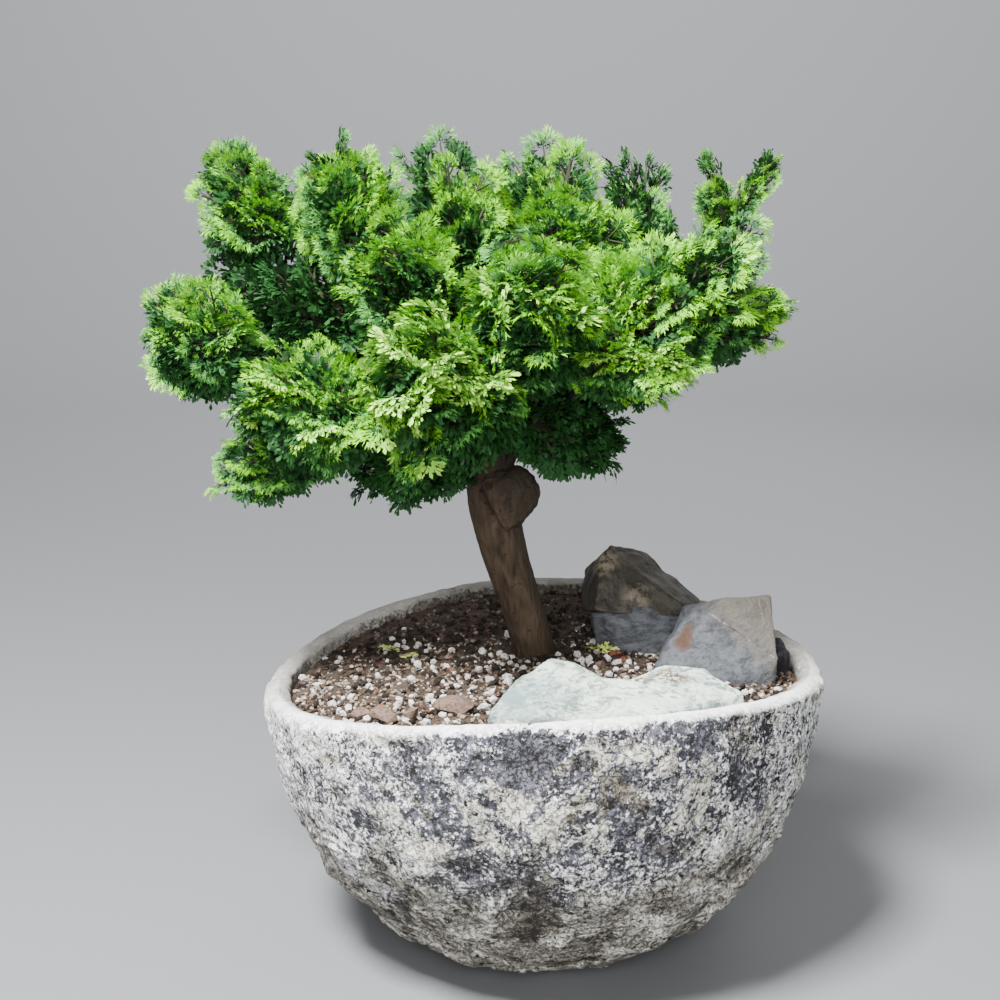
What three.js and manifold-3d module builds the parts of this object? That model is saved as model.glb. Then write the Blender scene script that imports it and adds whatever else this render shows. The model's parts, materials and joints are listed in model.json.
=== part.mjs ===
// A dwarf cypress bonsai in a hand-made bowl: pot, soil, four stones, a leaning trunk with a
// healed knot, tapering boughs, and the masses of fan-shaped sprays that they carry.
// Millimetres, +Z up, +X to the right of the front view, and -Y towards the front.
// The origin is the centre of the bowl's flat underside.
import * as THREE from "three";
import { ConvexGeometry } from "three/addons/geometries/ConvexGeometry.js";
import { mergeVertices } from "three/addons/utils/BufferGeometryUtils.js";
import Module from "manifold-3d";

const wasm = await Module();
wasm.setup();

// Between pieces that touch on the real plant
const CLEARANCE = 0.3;

// Bowl: a rounded wall that swells from the base and stands nearly upright at the rim
const POT = {
  rimRadius: 115,
  rimHeight: 118.8,
  baseRadius: 38,
  wall: 9,
  lipRound: 3,
  riseExponent: 1.94,
  swellExponent: 1.77,
  sides: 36,
  rings: 6,
  ringCrowding: 1.7,
};
// Hand-made rim: how far it rises on the right, the back, both sides, and the diagonals
const RIM_WAVE = { right: 4.5, back: -1.9, sides: -6.4, diagonals: -0.9 };
const SOIL = { centreHeight: 117, belowRim: 6, flatRadius: 25, rings: 2, sideRings: 3 };

// Trunk: its centre line from below the cut at ground level to the tip, with the radius there
const GROUND = SOIL.centreHeight + CLEARANCE;
const TRUNK_LINE = [
  { at: [-3, 10.5, 110], radius: 10.4 },
  { at: [-4.5, 9.5, 121], radius: 8.7 },
  { at: [-9, 8, 138], radius: 8.6 },
  { at: [-15, 6, 157], radius: 9.2 },
  { at: [-19.5, 4, 176], radius: 10.4 },
  { at: [-21, 3, 190], radius: 10.8 },
  { at: [-20.5, 4, 204], radius: 8.4 },
  { at: [-12, 5, 222], radius: 4.8 },
  { at: [-5, 6, 240], radius: 3.6 },
  { at: [1, 8, 254], radius: 2.8 },
  { at: [3, 9, 268], radius: 2 },
];
const TRUNK = { sides: 10, steps: 16 };
const KNOT = { at: [-15.6, -1.2, 187.5], size: [13.2, 11, 12.4], detail: 1 };

// Boughs, and the stems, twigs and sprays of a mass
const BOUGH = { baseRadius: 3.1, childBaseRadius: 2.2, tipRadius: 1.5, sides: 5, steps: 4 };
const STEM = { baseRadius: 1.3, tipRadius: 0.6, reach: 0.72, sides: 3 };
const TWIG = { baseRadius: 1.2, tipRadius: 0.9, reach: 0.68, sides: 3, spacing: 37.6, fewest: 6, behind: 0.2 };
const SPRAY = { width: 0.9, thickness: 0.1, ridgeAt: 0.35, sunk: 4, shortest: 6, roll: 1 };
const LIMB_SPARE = 0.7;
// Masses: how far one reaches behind its root, and the share that its dense heart fills
const MASS = { behind: 0.3, swell: 1.2, core: 0.8, openShare: 0.93 };

// Crown: each mass hangs on a bough that leaves its parent at a share of the parent's length
// and ends at the mass's root. The mass reaches from its root to its tip, with a girth across.
// The mass at the trunk's own tip has no bough.
const CROWN = [
  { name: "far_left", from: "trunk", at: 0.62, root: [-127, -5, 247], tip: [-160, -12, 259], girth: 22.5 },
  { name: "left_inner", from: "far_left", at: 0.42, root: [-83, 14, 254], tip: [-145, 26, 287], girth: 21.5 },
  { name: "upper_mid", from: "trunk", at: 0.7, root: [-76, 15, 283], tip: [-84, 12, 332], girth: 21.5 },
  { name: "upper_left", from: "upper_mid", at: 0.6, root: [-114, 20, 289], tip: [-133, 24, 328], girth: 18 },
  { name: "mid_left_high", from: "trunk", at: 0.76, root: [-46, -10, 255], tip: [-66, -45, 301], girth: 22 },
  { name: "left_low", from: "trunk", at: 0.575, root: [-79, -20, 222], tip: [-124, -45, 239], girth: 23 },
  { name: "left_drop", from: "left_low", at: 0.55, root: [-96, -8, 208], tip: [-135, -15, 192], girth: 14 },
  { name: "under_left", from: "trunk", at: 0.48, root: [-38, -6, 203], tip: [-84, -6, 199], girth: 15.5 },
  { name: "front_mid", from: "trunk", at: 0.57, root: [-29, -30, 229], tip: [-61, -95, 257], girth: 27 },
  { name: "front_high", from: "trunk", at: 0.83, root: [-8, -20, 250], tip: [-4, -80, 287], girth: 23 },
  { name: "crest_left", from: "trunk", at: 0.89, root: [-34, 5, 278], tip: [-40, 0, 327], girth: 19 },
  { name: "crest_right", from: "trunk", at: 1, root: [3, 9, 268], tip: [7, 10, 327], girth: 26 },
  { name: "crest_far_right", from: "trunk", at: 0.92, root: [41, 22, 268], tip: [40, 33, 321], girth: 15 },
  { name: "right_tip", from: "trunk", at: 0.65, root: [59, 0, 255], tip: [102, 0, 261], girth: 15 },
  { name: "right_low", from: "right_tip", at: 0.25, root: [20, -25, 242], tip: [60, -60, 252], girth: 14.5 },
  { name: "right_main", from: "trunk", at: 0.79, root: [27, -15, 256], tip: [88, -28, 290], girth: 24.5 },
  { name: "horn_in", from: "right_tip", at: 0.62, root: [75, 3, 286], tip: [64, -4, 327], girth: 8 },
  { name: "horn_out", from: "horn_in", at: 0.8, root: [76, 4, 300], tip: [93, 8, 325], girth: 6 },
  { name: "under_right", from: "trunk", at: 0.52, root: [-5, -5, 216], tip: [40, 3, 209], girth: 17 },
  { name: "back_left", from: "trunk", at: 0.64, root: [-69, 40, 242], tip: [-139, 75, 247], girth: 26 },
  { name: "back_mid", from: "trunk", at: 0.72, root: [-37, 45, 241], tip: [-65, 118, 271], girth: 29 },
  { name: "back_mid_right", from: "trunk", at: 0.68, root: [1, 45, 237], tip: [24, 113, 256], girth: 29 },
  { name: "back_right", from: "trunk", at: 0.6, root: [24, 30, 246], tip: [80, 70, 261], girth: 23.5 },
  { name: "back_crest", from: "trunk", at: 0.845, root: [-12, 32, 278], tip: [-13, 46, 323], girth: 21 },
];

// Stones: the corners of each rough block, deep enough for its foot to be bedded in the soil
const STONES = {
  stone_pale: [
    [-24, -90, 108], [-20, -62, 108], [8, -42, 108], [70, -46, 108], [76, -72, 108], [30, -95, 108],
    [-22, -86, 123], [-12, -62, 127], [2, -46, 131], [40, -48, 128], [62, -45, 127], [74, -66, 123],
    [40, -92, 124], [-4, -93, 124],
  ],
  stone_ridge: [
    [20, 14, 108], [66, 18, 108], [64, 52, 108], [26, 56, 108], [18, 20, 138], [20, 44, 146],
    [33, 34, 158], [45, 38, 154], [68, 34, 138], [40, 12, 138], [62, 14, 134], [24, 12, 132],
  ],
  stone_grey: [
    [42, -30, 104], [93, -30, 104], [95, 2, 104], [50, 6, 104], [44, -26, 123], [58, -20, 139],
    [76, -14, 147], [93, -8, 146], [94, -24, 124], [94, 0, 140], [58, 2, 139], [70, -34, 116],
  ],
  stone_dark: [
    [97, -8, 100], [102, -4, 100], [101, 12, 100], [96.5, 16, 100], [96.5, -9, 121], [103, -4, 121],
    [101, 11, 123], [96.5, 14, 122],
  ],
};

const finish = (color, roughness) => new THREE.MeshStandardMaterial({ color, roughness, metalness: 0 });
const LOOKS = {
  pot: finish(0x9a978f, 0.95),
  soil: finish(0x4a3a30, 1),
  bark: finish(0x6b5140, 0.9),
  foliage: finish(0x5a9a2c, 0.6),
  stone_pale: finish(0xc3cfc2, 0.8),
  stone_ridge: finish(0x6d6152, 0.8),
  stone_grey: finish(0x80848a, 0.8),
  stone_dark: finish(0x2b2a2d, 0.8),
};

const GOLDEN_ANGLE = Math.PI * (3 - Math.sqrt(5));
const UP = new THREE.Vector3(0, 0, 1);

const vector = ([x, y, z]) => new THREE.Vector3(x, y, z);
const shares = (steps) => Array.from({ length: steps + 1 }, (_, i) => i / steps);
const taper = (base, tip) => (share) => base + (tip - base) * share;

// Repeatable random numbers from 0 to 1, seeded by a name
function seeded(name) {
  let state = [...name].reduce((sum, letter) => (sum * 31 + letter.charCodeAt(0)) >>> 0, 7);
  return () => {
    state = (state + 0x6d2b79f5) >>> 0;
    let mixed = Math.imul(state ^ (state >>> 15), 1 | state);
    mixed = (mixed + Math.imul(mixed ^ (mixed >>> 7), 61 | mixed)) ^ mixed;
    return ((mixed ^ (mixed >>> 14)) >>> 0) / 4294967296;
  };
}

// Moves each vertex of a geometry by a function of its place
function reshape(geometry, move) {
  const place = geometry.getAttribute("position");
  const point = new THREE.Vector3();
  for (let i = 0; i < place.count; i++) {
    move(point.fromBufferAttribute(place, i));
    place.setXYZ(i, point.x, point.y, point.z);
  }
  return geometry;
}

function vertices(geometry) {
  const place = geometry.getAttribute("position");
  return Array.from({ length: place.count }, (_, i) => new THREE.Vector3().fromBufferAttribute(place, i));
}

// A closed geometry as a solid, with its shared vertices merged and its collapsed faces dropped
function solidOf(geometry) {
  geometry.deleteAttribute("normal");
  geometry.deleteAttribute("uv");
  const merged = mergeVertices(geometry, 1e-3);
  const corners = merged.index.array;
  const faces = [];
  for (let i = 0; i < corners.length; i += 3) {
    const [a, b, c] = corners.slice(i, i + 3);
    if (a !== b && b !== c && c !== a) faces.push(a, b, c);
  }
  const vertProperties = new Float32Array(merged.attributes.position.array);
  const triVerts = new Uint32Array(faces);
  return new wasm.Manifold(new wasm.Mesh({ numProp: 3, vertProperties, triVerts }));
}

// A solid's largest body as a named mesh, without the scraps that a cut leaves
function named(name, solid, look) {
  const body = solid.decompose().reduce((most, each) => (each.volume() > most.volume() ? each : most));
  const { vertProperties, triVerts } = body.getMesh();
  const geometry = new THREE.BufferGeometry();
  geometry.setAttribute("position", new THREE.BufferAttribute(vertProperties, 3));
  geometry.setIndex(new THREE.BufferAttribute(triVerts, 1));
  geometry.computeVertexNormals();
  const mesh = new THREE.Mesh(geometry, look.clone());
  mesh.name = name;
  return mesh;
}

// How far the rim stands above or below its mean height at a place round the bowl
function rimWave(x, y) {
  const angle = Math.atan2(y, x);
  const once = RIM_WAVE.right * Math.cos(angle) + RIM_WAVE.back * Math.sin(angle);
  return once + RIM_WAVE.sides * Math.cos(2 * angle) + RIM_WAVE.diagonals * Math.sin(2 * angle);
}

// The wall's outer radius at a share of its height
function bowlRadius(share) {
  const rise = 1 - (1 - share) ** POT.riseExponent;
  return POT.baseRadius + (POT.rimRadius - POT.baseRadius) * rise ** (1 / POT.swellExponent);
}

// Shares of the wall's height, closer together towards the base, where it curves most
function wallShares(rings) {
  return shares(rings).map((share) => share ** POT.ringCrowding);
}

// Lifts a point of the bowl with the rim's wave, more towards the rim and not at all at the base
function lift(point) {
  const share = Math.max(0, point.z / POT.rimHeight);
  const outwards = Math.min(1, Math.hypot(point.x, point.y) / POT.baseRadius);
  point.z += rimWave(point.x, point.y) * share ** 2 * outwards;
}

// A profile of radius and height, turned about the bowl's upright axis
function turned(profile) {
  const points = profile.map(([radius, height]) => new THREE.Vector2(radius, height));
  return new THREE.LatheGeometry(points, POT.sides).rotateX(Math.PI / 2);
}

function potSolid() {
  const { rimRadius, rimHeight, wall, lipRound } = POT;
  const top = rimHeight - lipRound;
  const outside = wallShares(POT.rings).map((s) => [bowlRadius(s), s * top]);
  const lip = [
    [rimRadius - lipRound, rimHeight],
    [rimRadius - wall + lipRound, rimHeight],
  ];
  const inside = wallShares(POT.rings).map((s) => [bowlRadius(s) - wall, wall + s * (top - wall)]);
  return solidOf(reshape(turned([[0, 0], ...outside, ...lip, ...inside.reverse(), [0, wall]]), lift));
}

// The soil's surface is level round the trunk and runs out to a line below the rim
function soilHeight(x, y) {
  const { centreHeight, flatRadius, belowRim } = SOIL;
  const share = Math.max(0, Math.hypot(x, y) - flatRadius) / (POT.rimRadius - POT.wall - flatRadius);
  const edge = POT.rimHeight + rimWave(x, y) - belowRim;
  return centreHeight + (edge - centreHeight) * Math.min(1, share) ** 1.5;
}

// Soil: the hollow of the bowl a clearance inside the wall, up to the soil's surface
function soilSolid() {
  const inset = POT.wall + CLEARANCE;
  const rise = POT.rimHeight - POT.lipRound - inset;
  const side = wallShares(SOIL.sideRings).map((s) => [bowlRadius(s) - inset, inset + s * rise]);
  const edge = POT.rimRadius - inset;
  const filled = turned([[0, inset], ...side, [edge, 150], [0, 150]]);
  const hollow = solidOf(reshape(filled, (p) => (p.z < 149 ? lift(p) : p)));
  const across = shares(SOIL.rings).map((s) => [edge + 4 + (SOIL.flatRadius - edge - 4) * s, 1]);
  const surface = turned([[0, 0], [edge + 4, 0], ...across, [0, 1]]);
  const ground = solidOf(reshape(surface, (p) => p.setZ(p.z > 0.5 ? soilHeight(p.x, p.y) : -10)));
  return hollow.intersect(ground);
}

// A limb: a cylinder laid along a curve, with its radius from a function of the share of its length
function limbSolid({ curve, radiusAt, sides, steps }, extra) {
  const frames = curve.computeFrenetFrames(steps, false);
  const cylinder = new THREE.CylinderGeometry(1, 1, 1, sides, steps);
  const bent = reshape(cylinder, (p) => {
    const step = Math.round((p.y + 0.5) * steps);
    const radius = radiusAt(step / steps) + extra;
    const [across, over] = [p.x * radius, -p.z * radius];
    p.copy(curve.getPointAt(step / steps));
    p.addScaledVector(frames.normals[step], across).addScaledVector(frames.binormals[step], over);
  });
  return solidOf(bent);
}

function trunkLimb() {
  const curve = new THREE.CatmullRomCurve3(TRUNK_LINE.map((row) => vector(row.at)));
  const last = TRUNK_LINE.length - 1;
  const radiusAt = (share) => {
    const place = curve.getUtoTmapping(share) * last;
    const index = Math.min(last - 1, Math.floor(place));
    return taper(TRUNK_LINE[index].radius, TRUNK_LINE[index + 1].radius)(place - index);
  };
  return { curve, radiusAt, ...TRUNK };
}

// The trunk with its knot, swollen by an extra all round, and cut flat at the ground
function trunkSolid(limb, extra) {
  const size = KNOT.size.map((side) => side + extra);
  const knot = new THREE.IcosahedronGeometry(1, KNOT.detail).scale(...size).translate(...KNOT.at);
  const below = new THREE.BoxGeometry(80, 80, 40).translate(0, 0, GROUND - 20);
  return limbSolid(limb, extra).add(solidOf(knot)).subtract(solidOf(below));
}

// A bough leaves its parent's centre line outwards and comes into line with its mass
function boughLimb(row, parent) {
  const start = parent.curve.getPointAt(row.at);
  const root = vector(row.root);
  const span = root.distanceTo(start);
  const level = root.clone().sub(start).setZ(0).normalize();
  const leave = start.clone().addScaledVector(level, span / 3);
  const inwards = root.clone().sub(vector(row.tip)).normalize();
  const enter = root.clone().addScaledVector(inwards, span / 4);
  const base = row.from === "trunk" ? BOUGH.baseRadius : BOUGH.childBaseRadius;
  const curve = new THREE.CubicBezierCurve3(start, leave, enter, root);
  return { curve, radiusAt: taper(base, BOUGH.tipRadius), sides: BOUGH.sides, steps: BOUGH.steps };
}

// The stem of a mass runs on from the tip of its bough, a clearance away
function stemLimb(row) {
  const root = vector(row.root);
  const reach = vector(row.tip).sub(root);
  const start = root.clone().addScaledVector(reach.clone().normalize(), CLEARANCE);
  const curve = new THREE.LineCurve3(start, root.addScaledVector(reach, STEM.reach));
  return { curve, radiusAt: taper(STEM.baseRadius, STEM.tipRadius), sides: STEM.sides, steps: 2 };
}

// The space of a mass: an ellipsoid from behind its root to its tip
function massSpace(row) {
  const tip = vector(row.tip);
  const rear = vector(row.root).lerp(tip, -MASS.behind);
  const axis = tip.clone().sub(rear).normalize();
  const centre = rear.clone().add(tip).multiplyScalar(0.5);
  return { row, axis, centre, half: rear.distanceTo(tip) / 2, girth: row.girth * MASS.swell, planes: [] };
}

function reachTowards({ axis, half, girth }, way) {
  const along = way.dot(axis);
  return Math.hypot(half * along, girth * Math.sqrt(Math.max(0, 1 - along * along)));
}

// Neighbouring spaces are parted by a plane, so that each mass keeps to its own side
function partSpaces(spaces) {
  for (const one of spaces) {
    for (const other of spaces.filter((space) => space !== one)) {
      const way = other.centre.clone().sub(one.centre);
      const apart = way.length();
      way.normalize();
      const [mine, theirs] = [reachTowards(one, way), reachTowards(other, way)];
      const reach = (apart * mine) / (mine + theirs) - CLEARANCE / 2;
      one.planes.push({ way, reach });
    }
  }
}

function insideSpace({ centre, axis, half, girth, planes }, point) {
  const from = point.clone().sub(centre);
  const along = from.dot(axis);
  const across = Math.sqrt(Math.max(0, from.lengthSq() - along * along));
  if (Math.hypot(along / half, across / girth) > 1.03) return false;
  return planes.every(({ way, reach }) => from.dot(way) < reach);
}

// Draws a point in towards the middle of its mass until it is inside the parting planes
function drawIn({ centre, planes }, point, margin) {
  const from = point.clone().sub(centre);
  const fit = planes.map(({ way, reach }) => (reach - margin) / Math.max(reach - margin, from.dot(way)));
  return centre.clone().addScaledVector(from, Math.min(1, ...fit));
}

// A limb as a row of points with radii, for keeping twigs and sprays off it
function sampled(limb) {
  return shares(48).map((share) => ({ at: limb.curve.getPointAt(share), radius: limb.radiusAt(share) }));
}

function keepsClear(points, beads) {
  return points.every((p) => beads.every(({ at, radius }) => p.distanceTo(at) > radius + LIMB_SPARE));
}

// Outline of a toothed fan from its tip round to its root and back, in shares of length and width
const FAN = [
  [1, 0], [0.76, 0.14], [0.92, 0.4], [0.58, 0.36], [0.6, 0.66], [0, 0.06],
  [0, -0.06], [0.6, -0.66], [0.58, -0.36], [0.92, -0.4], [0.76, -0.14],
];

// A flat spray: the toothed outline raised to a low ridge on both faces, pointing along +X
function fanBlade(length) {
  const blade = new THREE.SphereGeometry(1, FAN.length, 2).rotateX(Math.PI / 2).rotateZ(Math.PI);
  return reshape(blade, (p) => {
    const onRidge = Math.hypot(p.x, p.y) < 0.5;
    const turn = Math.round((Math.atan2(p.y, p.x) / (2 * Math.PI)) * FAN.length);
    const [along, across] = FAN[(turn + FAN.length) % FAN.length];
    if (onRidge) p.set(SPRAY.ridgeAt * length, 0, Math.sign(p.z) * SPRAY.thickness * length * 0.5);
    else p.set(along * length, across * SPRAY.width * length, 0);
  });
}

// A spray with its root sunk into a twig's end, its face turned about its length by a roll
function laidSpray(root, way, length, roll) {
  const side = Math.abs(way.z) > 0.9 ? new THREE.Vector3(1, 0, 0) : UP.clone().cross(way);
  side.addScaledVector(way, -side.dot(way)).normalize().applyAxisAngle(way, roll);
  const place = new THREE.Matrix4().makeBasis(way, side, way.clone().cross(side));
  return fanBlade(length).applyMatrix4(place.setPosition(root));
}

function straightLimb(start, end, { baseRadius, tipRadius, sides }) {
  const curve = new THREE.LineCurve3(start, end);
  return limbSolid({ curve, radiusAt: taper(baseRadius, tipRadius), sides, steps: 1 }, 0);
}

// The dense heart of a mass: a smaller ellipsoid drawn in behind the parting planes
function coreSolid(space) {
  const { centre, axis, half, girth } = space;
  const size = [half, girth, girth].map((side) => side * MASS.core);
  const turn = new THREE.Quaternion().setFromUnitVectors(new THREE.Vector3(1, 0, 0), axis);
  const ball = new THREE.IcosahedronGeometry(1, girth > 14 ? 1 : 0).scale(...size).applyQuaternion(turn);
  ball.translate(...centre.toArray());
  return solidOf(reshape(ball, (p) => p.copy(drawIn(space, p, 1))));
}

// A place on the surface of a mass: the share from root to tip, and the angle about the axis
function skinPoint({ centre, axis, half, girth }, along, angle) {
  const side = new THREE.Vector3(axis.y, -axis.x, 0).normalize().applyAxisAngle(axis, angle);
  const across = girth * Math.sqrt(Math.max(0, 1 - along * along));
  return centre.clone().addScaledVector(axis, half * along).addScaledVector(side, across);
}

// Twigs leave the stem by the golden angle, and each ends in a spray that reaches the surface.
// None grows where the mass faces a neighbour, and a spray that would leave the space or touch
// a limb is shortened, then skipped with its twig.
function massSolid(space, stem, beads) {
  const random = seeded(space.row.name);
  const fits = (geometry) => {
    const points = vertices(geometry);
    return points.every((p) => insideSpace(space, p)) && keepsClear(points, beads);
  };
  const pieces = [limbSolid(stem, 0), coreSolid(space)];
  const area = (4 * Math.PI * space.girth * (2 * space.half + space.girth)) / 3;
  const twigs = Math.max(TWIG.fewest, Math.round(area / TWIG.spacing ** 2));
  for (let k = 0; k < twigs; k++) {
    const along = 1 - (1.8 * k) / twigs;
    const full = skinPoint(space, along, k * GOLDEN_ANGLE + random());
    const skin = drawIn(space, full, 0.5);
    if (skin.distanceTo(space.centre) < MASS.openShare * full.distanceTo(space.centre)) continue;
    const foot = stem.curve.getPointAt(THREE.MathUtils.clamp((along + 1) / 2 - TWIG.behind, 0.08, 1));
    const fork = foot.clone().lerp(skin, TWIG.reach);
    const way = skin.clone().sub(foot).normalize();
    const root = fork.clone().addScaledVector(way, -SPRAY.sunk);
    const roll = (random() - 0.5) * 2 * SPRAY.roll;
    const lengths = [1, 0.8, 0.6].map((share) => share * root.distanceTo(skin));
    const tries = lengths.filter((length) => length > SPRAY.shortest);
    const spray = tries.map((length) => laidSpray(root, way, length, roll)).find(fits);
    if (spray !== undefined) pieces.push(straightLimb(foot, fork, TWIG), solidOf(spray));
  }
  return wasm.Manifold.union(pieces);
}

// Whether a limb's line comes near a mass
function isNear(limb, { centre, half, girth }) {
  const reach = Math.max(half, girth) * 1.05;
  return sampled(limb).some(({ at, radius }) => at.distanceTo(centre) < reach + radius);
}

function assemble() {
  const plant = new THREE.Group();
  plant.name = "dwarf_cypress_bonsai";
  const soil = soilSolid();
  plant.add(named("pot", potSolid(), LOOKS.pot), named("soil", soil, LOOKS.soil));
  for (const [name, corners] of Object.entries(STONES)) {
    const block = solidOf(new ConvexGeometry(corners.map(vector)));
    plant.add(named(name, block.subtract(soil.translate([0, 0, CLEARANCE])), LOOKS[name]));
  }

  const limbs = { trunk: trunkLimb() };
  const swollen = { trunk: trunkSolid(limbs.trunk, CLEARANCE) };
  plant.add(named("trunk", trunkSolid(limbs.trunk, 0), LOOKS.bark));
  for (const row of CROWN.filter(({ at }) => at < 1)) {
    limbs[row.name] = boughLimb(row, limbs[row.from]);
    swollen[row.name] = limbSolid(limbs[row.name], CLEARANCE);
    const bough = limbSolid(limbs[row.name], 0).subtract(swollen[row.from]);
    plant.add(named(`bough_${row.name}`, bough, LOOKS.bark));
  }

  const spaces = CROWN.map(massSpace);
  partSpaces(spaces);
  const stems = CROWN.map(stemLimb);
  spaces.forEach((space, index) => {
    const others = stems.filter((_, i) => i !== index);
    const near = [...Object.values(limbs), ...others].filter((limb) => isNear(limb, space));
    const beads = near.flatMap(sampled);
    const cuts = Object.keys(limbs).filter((name) => isNear(limbs[name], space)).map((name) => swollen[name]);
    const crossing = others.filter((stem) => isNear(stem, space)).map((stem) => limbSolid(stem, CLEARANCE));
    const mass = massSolid(space, stems[index], beads);
    const clear = [...cuts, ...crossing].reduce((left, cut) => left.subtract(cut), mass);
    plant.add(named(`mass_${space.row.name}`, clear, LOOKS.foliage));
  });
  return plant;
}

export default assemble();
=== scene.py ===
"""A dwarf cypress bonsai in a rough hand-made bowl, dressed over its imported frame."""

import json
import logging
import math
from dataclasses import dataclass, field, replace
from enum import Enum
from typing import Any, Sequence

import bpy
import numpy as np
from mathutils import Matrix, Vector, noise

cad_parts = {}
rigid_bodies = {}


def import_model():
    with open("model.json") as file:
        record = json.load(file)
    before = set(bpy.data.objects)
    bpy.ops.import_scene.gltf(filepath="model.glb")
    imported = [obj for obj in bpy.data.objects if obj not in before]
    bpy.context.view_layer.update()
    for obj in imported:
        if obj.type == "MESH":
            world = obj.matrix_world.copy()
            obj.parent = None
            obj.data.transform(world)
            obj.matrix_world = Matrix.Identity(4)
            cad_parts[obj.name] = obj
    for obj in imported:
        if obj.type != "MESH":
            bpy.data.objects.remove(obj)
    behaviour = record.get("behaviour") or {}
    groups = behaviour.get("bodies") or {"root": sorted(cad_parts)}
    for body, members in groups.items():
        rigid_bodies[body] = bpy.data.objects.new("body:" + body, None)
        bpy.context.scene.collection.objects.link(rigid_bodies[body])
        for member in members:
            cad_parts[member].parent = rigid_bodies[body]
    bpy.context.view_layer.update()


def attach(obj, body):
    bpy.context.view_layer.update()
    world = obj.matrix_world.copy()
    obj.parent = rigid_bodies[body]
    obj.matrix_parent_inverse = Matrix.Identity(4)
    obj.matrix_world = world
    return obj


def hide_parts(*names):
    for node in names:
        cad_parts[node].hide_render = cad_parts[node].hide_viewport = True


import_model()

LOG = logging.getLogger("bonsai")
MM = 0.001
GOLDEN_ANGLE = math.pi * (3 - math.sqrt(5))
Point = tuple[float, float, float]
Colour = tuple[float, float, float]


# Shaders

class Wire:
    """A shader socket that takes part in Python arithmetic."""

    def __init__(self, finish: "Finish", socket: Any) -> None:
        """Keeps the finish whose nodes it grows, and the socket."""
        self.finish = finish
        self.socket = socket

    def math(self, operation: str, *values: Any) -> "Wire":
        """Adds one Math node.

        Args:
            operation: The node's operation.
            values: Its inputs, wires or numbers, in order.

        Returns:
            The node's result.
        """
        return self.finish.node("ShaderNodeMath", {"operation": operation}, dict(enumerate(values)))

    def __add__(self, other: Any) -> "Wire":
        """Sum."""
        return self.math("ADD", self, other)

    def __radd__(self, other: Any) -> "Wire":
        """Sum with a number first."""
        return self.math("ADD", other, self)

    def __sub__(self, other: Any) -> "Wire":
        """Difference."""
        return self.math("SUBTRACT", self, other)

    def __rsub__(self, other: Any) -> "Wire":
        """Difference from a number."""
        return self.math("SUBTRACT", other, self)

    def __mul__(self, other: Any) -> "Wire":
        """Product."""
        return self.math("MULTIPLY", self, other)

    def __rmul__(self, other: Any) -> "Wire":
        """Product with a number first."""
        return self.math("MULTIPLY", other, self)

    def band(self, low: float, high: float) -> "Wire":
        """Eases from 0 to 1 as the value goes from low to high."""
        limits = {"Value": self, "From Min": low, "From Max": high}
        return self.finish.node("ShaderNodeMapRange", {"interpolation_type": "SMOOTHSTEP"}, limits)


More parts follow.
